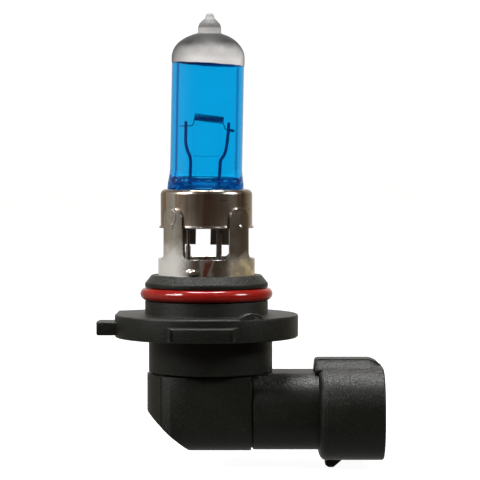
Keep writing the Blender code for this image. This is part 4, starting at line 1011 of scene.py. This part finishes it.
# Each contact, in millimetres: side of the blade, post centre in X, post from and to in Y,
# post top.
CONTACTS = {
    "contact_right": (-1, 2.08, -2.40, -0.40, 13.10),
    "contact_left": (1, -3.00, 0.40, 1.70, 11.20),
}
BLADE_OFFSET = 3.10
BLADE_HALF_WIDTH = 1.40
BLADE_END = 26.80
BLADE_TAPER = (1.10, 0.75)
STRIP_LEVELS = (-15.90, -15.10)


def contact_surfaces(contact):
    """A contact: the flat strip and blade in plan, and the upright post with a round top."""
    side, post_x, post_low, post_high, post_top = CONTACTS[contact]
    half = 0.40
    start = post_x - half
    low = BLADE_OFFSET * side - BLADE_HALF_WIDTH
    high = BLADE_OFFSET * side + BLADE_HALF_WIDTH
    end = BLADE_END
    back, inward = BLADE_TAPER
    strip = [
        (start, min(post_low, low)), (end - back, low), (end, low + inward),
        (end, high - inward), (end - back, high), (start, max(post_high, high)),
    ]
    # A slab along Y reads its outline as (z, x).
    post = np.vstack([
        [(-15.6, start)],
        arc_points((post_top - half, post_x), half, -90.0, 90.0, 12),
        [(-15.6, post_x + half)],
    ])
    return [
        slab(np.array(strip) * MM, STRIP_LEVELS[0] * MM, STRIP_LEVELS[1] * MM, 0.10 * MM),
        slab(post * MM, post_low * MM, post_high * MM, 0.10 * MM, axis="Y"),
    ]


class BULB_OT_steel(Operator):
    """Build the cup, the mounting ring, the clip and the contacts"""

    bl_idname = "bulb.steel"
    bl_label = "Steel pieces and contacts"

    def execute(self, context):
        settings = context.scene.bulb_steel
        shade = tuple(settings.steel_colour)
        cup = place("cup", make_mesh("cup", [cup_surface(settings)], 50.0))
        cup_finish = pressed_steel("cup_steel", shade, 0.24, 0.35, 0.85)
        settle(cup, cup_finish, ["capsule_collar"])
        ring = place("arm_ring", make_mesh("arm_ring", [ring_surface(settings)], 50.0))
        settle(ring, ring_steel(shade), ["mounting_ring"])
        refinish("pinch_clip", pressed_steel("clip_steel", (0.30, 0.27, 0.23), 0.36, 0.5))
        contact_finish = pressed_steel("tinned_strip", (0.46, 0.43, 0.39), 0.46, 0.2)
        for contact in CONTACTS:
            first, second = contact_surfaces(contact)
            strip = place(contact + "_strip", make_mesh(contact + "_strip", [first], 30.0))
            post = place(contact + "_post", make_mesh(contact + "_post", [second], 30.0))
            combine(strip, [post], "UNION")
            settle(strip, contact_finish, [contact])
        return {"FINISHED"}


# ---------------------------------------------------------------- moulded base

# Each lug: azimuth in degrees, then its width at the tip and at the root in millimetres.
LUGS = ((180.0, 6.4, 6.4), (268.4, 9.85, 11.8), (50.0, 6.4, 6.4))
LUG_LEVELS = (-3.30, -1.20)
# The elbow: half width, half height, corner radius and centre height.
ELBOW = (8.50 * MM, 6.15 * MM, 5.00 * MM, -15.45 * MM)
SOCKET_HALF_WIDTH = 10.00 * MM
SOCKET_HALF_HEIGHT = 7.43 * MM
SOCKET_CENTRE = -15.83 * MM
SOCKET_FLOOR = 19.80 * MM
RIB_SIDE_WIDTH = 5.20 * MM
# The flange's square corner in plan, and side outlines of the rib and the latch nub as
# (z, x), all in millimetres.
FLANGE_CORNER = ((0.0, 0.0), (-4.6, 10.8), (-10.2, 10.8), (-14.8, 8.1), (-14.8, 0.0))
RIB_OUTLINE = (
    (-10.2, 17.4), (-9.0, 17.35), (-7.62, 17.5), (-7.28, 17.65), (-7.14, 18.0), (-7.14, 26.2),
    (-7.26, 26.8), (-7.55, 27.4), (-8.0, 27.9), (-8.6, 28.3), (-10.2, 28.3),
)
LATCH_OUTLINE = (
    (-22.3, 22.1), (-23.4, 22.1), (-24.4, 20.95), (-24.74, 20.5), (-24.74, 19.75), (-24.4, 19.25),
    (-22.3, 19.2),
)
PIP_AZIMUTH = 299.7


def base_profile(settings):
    """Section of the flange, neck, ring groove and chamfered shoulder, from the axis out."""
    neck = settings.neck_radius
    rim = settings.flange_radius
    depth = settings.flange_depth
    edge = 0.30 * MM
    small = 0.12 * MM
    top = float(BASE_HIGH[2])
    low = float(SEAL_LOW[2]) - 0.1 * MM
    high = float(SEAL_HIGH[2]) + 0.1 * MM
    floor = float(SEAL_HIGH[0]) - 2.0 * SEAL_RADIUS - 0.1 * MM
    return np.vstack([
        arc_points((rim - edge, -depth + edge), edge, 270.0, 360.0, 5),
        arc_points((rim - edge, -edge), edge, 0.0, 90.0, 5),
        arc_points((neck + small, small), small, 270.0, 180.0, 4),
        arc_points((neck - small, low - small), small, 0.0, 90.0, 4),
        [(floor, low), (floor, high)],
        arc_points((neck - small, high + small), small, 270.0, 360.0, 4),
        arc_points((neck - 0.35 * MM, top - 1.45 * MM), 0.35 * MM, 0.0, 48.0, 5),
        arc_points((neck - 0.92 * MM - 0.30 * MM, top - 0.30 * MM), 0.30 * MM, 40.0, 90.0, 5),
    ])


def lug_surface(azimuth, tip_width, root_width, settings):
    """A bayonet lug: straight sides, a tip on a circle about the axis, rounded rims."""
    radius = -float(BASE_LOW[0])
    side = tip_width * MM / 2.0
    root_side = root_width * MM / 2.0
    half_angle = math.degrees(math.asin(side / (radius - 0.25 * MM)))
    root = settings.flange_radius - 2.0 * MM
    tip = arc_points((0.0, 0.0), radius, -half_angle + 0.9, half_angle - 0.9, 12)
    shoulder = radius - 0.28 * MM
    right = [(root, -root_side), (shoulder, -side)]
    left = [(shoulder, side), (root, root_side)]
    outline = turn_plan(np.vstack([right, tip, left]), azimuth)
    return slab(outline, LUG_LEVELS[0] * MM, LUG_LEVELS[1] * MM, 0.18 * MM)


def connector_surface(settings):
    """The elbow, the rounded shoulder and the socket: rounded rectangles carried along X, set
    in where they leave the cover, growing as a sine over the shoulder to a fine raised line,
    and rounded at the mouth."""
    swing = np.radians(np.linspace(0.0, 90.0, 9))
    x = np.concatenate([
        [7.22 * MM, 7.43 * MM, 7.45 * MM, 7.53 * MM, 7.70 * MM],
        18.0 * MM + 1.15 * MM * (1.0 - np.cos(swing)),
        [19.22 * MM, 19.32 * MM, 19.45 * MM],
    ])
    share = np.concatenate([np.zeros(5), np.sin(swing), [1.035, 1.035, 1.0]])
    inset = np.concatenate([[0.30 * MM, 0.30 * MM, 0.20 * MM, 0.08 * MM, 0.0], np.zeros(12)])
    lip = np.radians(np.linspace(0.0, 90.0, 5))
    x = np.concatenate([x, MOUTH - 0.35 * MM * (1.0 - np.sin(lip))])
    share = np.concatenate([share, np.ones(5)])
    inset = np.concatenate([inset, 0.35 * MM * (1.0 - np.cos(lip))])
    elbow = np.array(ELBOW)
    socket = np.array([SOCKET_HALF_WIDTH, SOCKET_HALF_HEIGHT, settings.socket_corner, SOCKET_CENTRE])
    rings = []
    for place_x, part, shrink in zip(x, share, inset):
        half_y, half_z, corner, centre = elbow + (socket - elbow) * part
        outline = rounded_rectangle(half_y - shrink, half_z - shrink, corner - shrink, 20, (0.0, centre))
        rings.append(np.column_stack([np.full(len(outline), place_x), outline]))
    return skin(np.stack(rings))


def rib_sides_surface(settings):
    """The wide shoulders of the rib: over the socket's own top line, a crest that falls as a
    smoothstep to each side and to both ends."""
    y = np.linspace(RIB_SIDE_WIDTH, -RIB_SIDE_WIDTH, 41)
    corner = settings.socket_corner
    over = np.maximum(np.abs(y) - (SOCKET_HALF_WIDTH - corner), 0.0)
    full_z = -8.40 * MM - corner + np.sqrt(corner ** 2 - over ** 2) - 0.04 * MM
    crest = 1.12 * MM * (1.0 - ease(np.abs(y), 1.7 * MM, 5.1 * MM))
    start = [17.50, 17.56, 17.66, 17.80, 18.10]
    under = np.linspace(-RIB_SIDE_WIDTH, RIB_SIDE_WIDTH, 9)
    rings = []
    for x in np.concatenate([start, np.linspace(18.6, 25.6, 8), np.linspace(26.0, 28.4, 12)]) * MM:
        share = 1.0 - ease(x, 26.0 * MM, 28.5 * MM)
        skin_z = full_z - 0.30 * MM * (1.0 - ease(x, 17.4 * MM, 17.8 * MM))
        top = np.column_stack([np.full(len(y), x), y, skin_z + crest * share])
        low = np.column_stack([np.full(9, x), under, np.full(9, -9.2 * MM)])
        rings.append(np.vstack([top, low]))
    return skin(np.stack(rings))


def socket_hollow(settings):
    """The inside of the socket, widening a little at the mouth."""
    wall = settings.socket_wall
    sections = (
        (SOCKET_FLOOR, 0.0), (MOUTH - 0.5 * MM, 0.0),
        (MOUTH - 0.1 * MM, 0.16 * MM), (MOUTH + 0.5 * MM, 0.5 * MM),
    )
    rings = []
    for place_x, grow in sections:
        half_y = SOCKET_HALF_WIDTH - wall + grow
        half_z = SOCKET_HALF_HEIGHT - wall + grow
        corner = settings.socket_corner - wall + grow
        outline = rounded_rectangle(half_y, half_z, corner, 14, (0.0, SOCKET_CENTRE))
        rings.append(np.column_stack([np.full(len(outline), place_x), outline]))
    return skin(np.stack(rings))


def block(low, high, edge=0.15):
    """A block between two corners in millimetres, with rounded vertical rims."""
    middle = ((low[0] + high[0]) / 2.0 * MM, (low[1] + high[1]) / 2.0 * MM)
    half_x = (high[0] - low[0]) / 2.0 * MM
    half_y = (high[1] - low[1]) / 2.0 * MM
    outline = rounded_rectangle(half_x, half_y, edge * MM, 4, middle)
    return slab(outline, low[2] * MM, high[2] * MM, 0.7 * edge * MM)


def pip_surface(settings):
    """The half-round pip on the rim: a low arch in elevation, bent round the flange's axis."""
    middle = math.radians(PIP_AZIMUTH)
    span = np.linspace(-1.0, 1.0, 21)
    rise = 0.95 * np.maximum(1.0 - span ** 2, 0.0) ** 0.7
    across = np.concatenate([2.2 * span, np.linspace(2.2, -2.2, 12)]) * MM
    up = np.concatenate([rise, np.full(12, -0.6)]) * MM
    outer = settings.flange_radius - 0.02 * MM
    sections = ((1.20 * MM, 0.85), (1.05 * MM, 1.0), (0.15 * MM, 1.0), (0.0, 0.88))
    rings = []
    for inwards, shrink in sections:
        reach = outer - inwards
        angle = middle + across * shrink / outer
        z = np.where(up > 0, up * shrink, up)
        rings.append(np.column_stack([reach * np.cos(angle), reach * np.sin(angle), z]))
    return skin(np.stack(rings)[:, ::-1])


COVER_START = -9.62 * MM
COVER_END_RADIUS = 10.28 * MM
COVER_END_CENTRE = 0.66 * MM
COVER_END_SWING = 40.2
COVER_HALF_WIDTH = 8.60 * MM
COVER_CORNER = 5.10 * MM
COVER_WALL = 1.20 * MM
# The end chamfer starts at a height and runs in by this much for each unit down; the inner
# form moves both by a share of the wall.
CHAMFER_TOP = -15.50 * MM
CHAMFER_SLOPE = 1.128
CHAMFER_SHIFT = 0.43


def cover_plan(inset, right):
    """Plan of the cover: a round end about the stub's axis, a narrow groove on each side, a
    wide shoulder curve and two straight sides."""
    radius = COVER_END_RADIUS - inset
    half = COVER_HALF_WIDTH - inset
    swing_low = 180.0 - COVER_END_SWING
    swing_high = 180.0 + COVER_END_SWING
    end = arc_points((COVER_END_CENTRE, 0.0), radius, swing_low, swing_high, 30)
    groove = np.array([(-7.00, 6.42)]) * MM + np.array([(inset, -inset)]) * 0.7
    swing = np.radians(np.linspace(0.0, 60.0, 14))
    shoulder_x = -2.70 * MM - 5.05 * MM * np.sin(swing)
    shoulder_y = half - 3.10 * MM * (1.0 - np.cos(swing))
    upper = np.column_stack([shoulder_x, shoulder_y])
    lower = np.column_stack([shoulder_x, -shoulder_y])[::-1]
    return np.vstack([[(right, -half), (right, half)], upper, groove, end, groove * (1.0, -1.0), lower])


def cover_piece(name, inset, right, top):
    """The cover's outer or inner form: its plan carried upright, cut by the end chamfer and
    by rounded lower sides."""
    bottom = float(COVER_LOW[2]) + inset
    body = place(name, make_mesh(name, [slab(cover_plan(inset, right), bottom, top, 0.02 * MM)]))
    shift = inset * CHAMFER_SHIFT
    low = bottom - MM
    start = COVER_START + shift
    chamfer_z = CHAMFER_TOP + shift
    chamfer_x = start + (chamfer_z - low) * CHAMFER_SLOPE
    side = [
        (-14.0 * MM, top + MM), (start, top + MM), (start, chamfer_z),
        (chamfer_x, low), (right + MM, low), (right + MM, top + MM),
    ]
    # A slab along Y reads its outline as (z, x).
    side_outline = np.array([(z, x) for x, z in side])[::-1]
    half = COVER_HALF_WIDTH - inset
    corner = COVER_CORNER - inset
    end = np.vstack([
        [(half + MM, top + MM), (-half - MM, top + MM), (-half - MM, bottom + corner)],
        arc_points((-half + corner, bottom + corner), corner, 180.0, 270.0, 14),
        arc_points((half - corner, bottom + corner), corner, 270.0, 360.0, 14),
        [(half + MM, bottom + corner)],
    ])
    cuts = (
        slab(side_outline, -15.0 * MM, 15.0 * MM, 0.01 * MM, "Y"),
        slab(end, -20.0 * MM, right + MM, 0.01 * MM, "X"),
    )
    for surface in cuts:
        combine(body, [place("cut", make_mesh("cut", [surface]))], "INTERSECT")
    return body


def added_forms(settings):
    """Every form joined to the turned neck: stub, lugs, square corner, pip, connector, core,
    rib and latch nub."""
    depth = settings.flange_depth
    radius = settings.stub_radius
    edge = 0.15 * MM
    bottom = float(COVER_HIGH[2]) + 0.30 * MM
    stub = np.vstack([
        arc_points((radius - edge, bottom + edge), edge, 270.0, 360.0, 4),
        [(radius, -depth - 0.2 * MM), (radius, -depth + 0.5 * MM)],
    ])
    return [
        turned(stub, 160, settings.stub_offset, loop=False),
        *(lug_surface(*lug, settings) for lug in LUGS),
        slab(np.array(FLANGE_CORNER) * MM, -depth + 0.02 * MM, -0.02 * MM, 0.25 * MM),
        pip_surface(settings),
        connector_surface(settings),
        block((3.4, -6.2, -18.6), (8.5, 6.2, -8.3)),
        block((7.0, -5.2, -10.3), (10.0, 5.2, -8.8)),
        rib_sides_surface(settings),
        slab(np.array(RIB_OUTLINE) * MM, -2.0 * MM, 2.0 * MM, 0.15 * MM, "Y"),
        slab(np.array(LATCH_OUTLINE) * MM, -2.0 * MM, 2.0 * MM, 0.2 * MM, "Y"),
    ]


def cut_forms(settings):
    """Every form cut from the base: the neck's bore, the ring's slot, the socket's hollow and
    a slot for each blade."""
    bore = np.array([(5.6, -10.1), (5.6, 8.0)]) * MM
    low = float(RING_LOW[2]) - 0.1 * MM
    high = 8.0 * MM
    inner = 7.40 * MM
    outer = 7.94 * MM
    slot = np.array([(inner, low), (outer, low), (outer, high), (inner, high)])
    cuts = [turned(bore, 96, loop=False), turned(slot, 160), socket_hollow(settings)]
    for side in (-1, 1):
        middle = BLADE_OFFSET * side
        cuts.append(block((-12.0, middle - 1.5, -16.0), (23.0, middle + 1.5, -15.0), 0.05))
    return cuts


class BULB_OT_base(Operator):
    """Build the moulded base, the rear cover, the insert and the sealing compound"""

    bl_idname = "bulb.base"
    bl_label = "Moulded base and cover"

    def execute(self, context):
        settings = context.scene.bulb_base
        shade = tuple(settings.moulding_colour)
        neck = turned(base_profile(settings), 192, loop=False)
        base = place("moulded_base", make_mesh("moulded_base", [neck]))
        for operation, surfaces in (("UNION", added_forms(settings)), ("DIFFERENCE", cut_forms(settings))):
            for surface in surfaces:
                combine(base, [place("form", make_mesh("form", [surface]))], operation)
        settle(base, grained_moulding("base_moulding", shade), ["base_housing"])

        right = float(COVER_HIGH[0])
        top = float(COVER_HIGH[2])
        cover = cover_piece("cover_shell", 0.0, right, top)
        inside = cover_piece("cover_inside", COVER_WALL, right + MM, top + MM)
        combine(cover, [inside], "DIFFERENCE")
        cover_finish = grained_moulding("cover_moulding", tinted(shade, 1.1))
        settle(cover, cover_finish, ["rear_cover"])
        refinish("contact_carrier", grained_moulding("insert_moulding", (0.03, 0.03, 0.03), 0.5))
        refinish("seal_plug", grained_moulding("poured_compound", (0.06, 0.05, 0.045), 0.35))
        return {"FINISHED"}


class BULB_OT_seal(Operator):
    """Build the red sealing ring"""

    bl_idname = "bulb.seal"
    bl_label = "Sealing ring"

    def execute(self, context):
        middle = (float(SEAL_HIGH[2]) + float(SEAL_LOW[2])) / 2.0
        centre = (float(SEAL_HIGH[0]) - SEAL_RADIUS, middle)
        profile = arc_points(centre, SEAL_RADIUS, 0.0, 360.0, 40)[:-1]
        ring = place("sealing_ring", make_mesh("sealing_ring", [turned(profile, 224)], 60.0))
        settle(ring, sealing_rubber(context.scene.bulb_base), ["o_ring"])
        return {"FINISHED"}


# ---------------------------------------------------------------- stage

# Soft lights: name, place, width and height in metres, power in watts, and whether gloss
# mirrors it.
SOFTBOXES = (
    ("left", (-0.39, -0.20, 0.235), (0.24, 0.14), 1.5, True),
    ("right", (0.40, -0.15, 0.25), (0.15, 0.15), 1.3, True),
    ("overhead", (0.0, 0.07, 0.50), (0.24, 0.12), 3.4, True),
    ("strip", (-0.34, -0.20, 0.37), (0.12, 0.04), 0.95, True),
    ("front", (0.25, -0.40, 0.30), (0.25, 0.20), 1.1, False),
)


def softbox(name, place_at, size, power, mirrored):
    """A rectangular soft light aimed at the origin, which gloss may mirror or not."""
    lamp = bpy.data.lights.new(name, "AREA")
    lamp.shape = "RECTANGLE"
    lamp.size, lamp.size_y = size
    lamp.energy = power
    item = bpy.data.objects.new(name, lamp)
    item.visible_glossy = mirrored
    item.visible_transmission = False
    item.visible_camera = False
    bpy.context.scene.collection.objects.link(item)
    item.location = place_at
    x, y, z = place_at
    tilt = math.atan2(math.hypot(x, y), z)
    item.rotation_euler = (tilt, 0.0, math.atan2(-y, -x) - math.pi / 2.0)


# The room round the bulb: place by azimuth, from straight behind round the left to straight
# behind again, with its colour.
ROOM_STOPS = (
    (0.000, (0.90, 0.89, 0.87)), (0.060, (0.45, 0.42, 0.38)), (0.120, (0.25, 0.22, 0.18)),
    (0.185, (0.34, 0.31, 0.25)), (0.270, (0.38, 0.36, 0.33)), (0.305, (0.24, 0.22, 0.20)),
    (0.345, (0.13, 0.11, 0.09)), (0.390, (0.075, 0.055, 0.043)), (0.500, (0.050, 0.032, 0.022)),
    (0.660, (0.048, 0.034, 0.022)), (0.760, (0.062, 0.045, 0.028)), (0.810, (0.085, 0.065, 0.040)),
    (0.860, (0.24, 0.19, 0.125)), (0.920, (0.48, 0.43, 0.36)), (1.000, (0.90, 0.89, 0.87)),
)


def studio_world(brightness):
    """White where it is seen directly, or through glass near the horizon; elsewhere a dim
    room whose colour follows the azimuth, dark overhead and paler straight below, and which
    lights dull surfaces less than gloss mirrors it."""
    world = Finish("studio", kind="world")
    paths = world.add("ShaderNodeLightPath", {}, {}, output="Is Camera Ray")
    through = world.add("ShaderNodeLightPath", {}, {}, output="Is Transmission Ray")
    soft = world.add("ShaderNodeLightPath", {}, {}, output="Is Diffuse Ray")
    where = world.add("ShaderNodeTexCoord", {}, {}, output="Generated")
    across = world.add("ShaderNodeSeparateXYZ", {}, {"Vector": where}, output="X")
    away = world.add("ShaderNodeSeparateXYZ", {}, {"Vector": where}, output="Y")
    up = world.add("ShaderNodeSeparateXYZ", {}, {"Vector": where}, output="Z")
    azimuth = across.math("ARCTAN2", away * -1.0) / (2.0 * math.pi) + 0.5
    stops = [(stop, (*shade, 1.0)) for stop, shade in ROOM_STOPS]
    room = world.add("ShaderNodeValToRGB", {"stops": stops}, {"Fac": azimuth})
    room = world.mix(up.rise(0.30, 0.75), room, (0.12, 0.115, 0.11))
    room = world.mix((up * -1.0).rise(0.25, 0.75), room, (0.42, 0.41, 0.39))
    steep = up.math("ABSOLUTE").rise(0.45, 0.80)
    white = (brightness, brightness, brightness)
    glass_view = world.mix(steep, white, (0.10, 0.14, 0.20))
    room = world.mix(soft * 0.35, room, (0.0, 0.0, 0.0))
    seen = world.mix(through, room, glass_view)
    world.feed("Color", world.mix(paths, seen, white))


class BULB_OT_stage(Operator):
    """Build the floor, the lights, the backdrop and the camera"""

    bl_idname = "bulb.stage"
    bl_label = "Stage and camera"

    def execute(self, context):
        settings = context.scene.bulb_stage
        scene = context.scene
        reach = 12.0
        corners = ((-reach, -reach), (reach, -reach), (reach, reach), (-reach, reach))
        points = np.array([(x, y, CAD_BOX[0][2]) for x, y in corners])
        floor = place("floor", make_mesh("floor", [(points, [[0, 1, 2, 3]])]))
        finish = Finish("pale_floor", roughness=0.9, Emission_Strength=0.95)
        finish.feed("Emission Color", (1.0, 1.0, 1.0, 1.0))
        speck = finish.noise(40.0, 2.0)
        finish.feed("Base Color", finish.mix(speck, (0.20, 0.20, 0.20), (0.23, 0.23, 0.23)))
        floor.data.materials.append(finish.material)
        floor.visible_glossy = False
        floor.visible_diffuse = False
        for box in SOFTBOXES:
            softbox(*box)
        studio_world(settings.backdrop)
        camera = bpy.data.cameras.new("camera")
        camera.lens = settings.lens
        camera.clip_start = 0.01
        item = bpy.data.objects.new("camera", camera)
        scene.collection.objects.link(item)
        item.location = (settings.aim_side, -settings.distance, settings.height)
        drop = math.atan2(settings.height - settings.aim_height, settings.distance)
        item.rotation_euler = (math.pi / 2.0 - drop, 0.0, 0.0)
        scene.camera = item
        scene.view_settings.view_transform = "Standard"
        return {"FINISHED"}


# ---------------------------------------------------------------- add-on

class BULB_PT_panel(Panel):
    """Lists the bulb's builders in the sidebar"""

    bl_idname = "BULB_PT_panel"
    bl_label = "Headlight bulb"
    bl_space_type = "VIEW_3D"
    bl_region_type = "UI"
    bl_category = "Bulb"

    def draw(self, context):
        for operator in BUILDERS:
            self.layout.operator(operator.bl_idname)


BUILDERS = (BULB_OT_stage, BULB_OT_glass, BULB_OT_filament, BULB_OT_steel, BULB_OT_base, BULB_OT_seal)
GROUPS = {
    "bulb_capsule": BulbCapsuleSettings,
    "bulb_steel": BulbSteelSettings,
    "bulb_base": BulbBaseSettings,
    "bulb_stage": BulbStageSettings,
}


def register():
    """Register the settings, the builders and the panel."""
    for name, group in GROUPS.items():
        bpy.utils.register_class(group)
        setattr(bpy.types.Scene, name, PointerProperty(type=group))
    for item in (*BUILDERS, BULB_PT_panel):
        bpy.utils.register_class(item)


def unregister():
    """Take away what register added."""
    for item in (BULB_PT_panel, *reversed(BUILDERS)):
        bpy.utils.unregister_class(item)
    for name, group in GROUPS.items():
        delattr(bpy.types.Scene, name)
        bpy.utils.unregister_class(group)


def main():
    """Build the whole bulb on its stage."""
    register()
    bpy.ops.bulb.stage()
    bpy.ops.bulb.glass()
    bpy.ops.bulb.filament()
    bpy.ops.bulb.steel()
    bpy.ops.bulb.base()
    bpy.ops.bulb.seal()


if __name__ == "__main__":
    main()
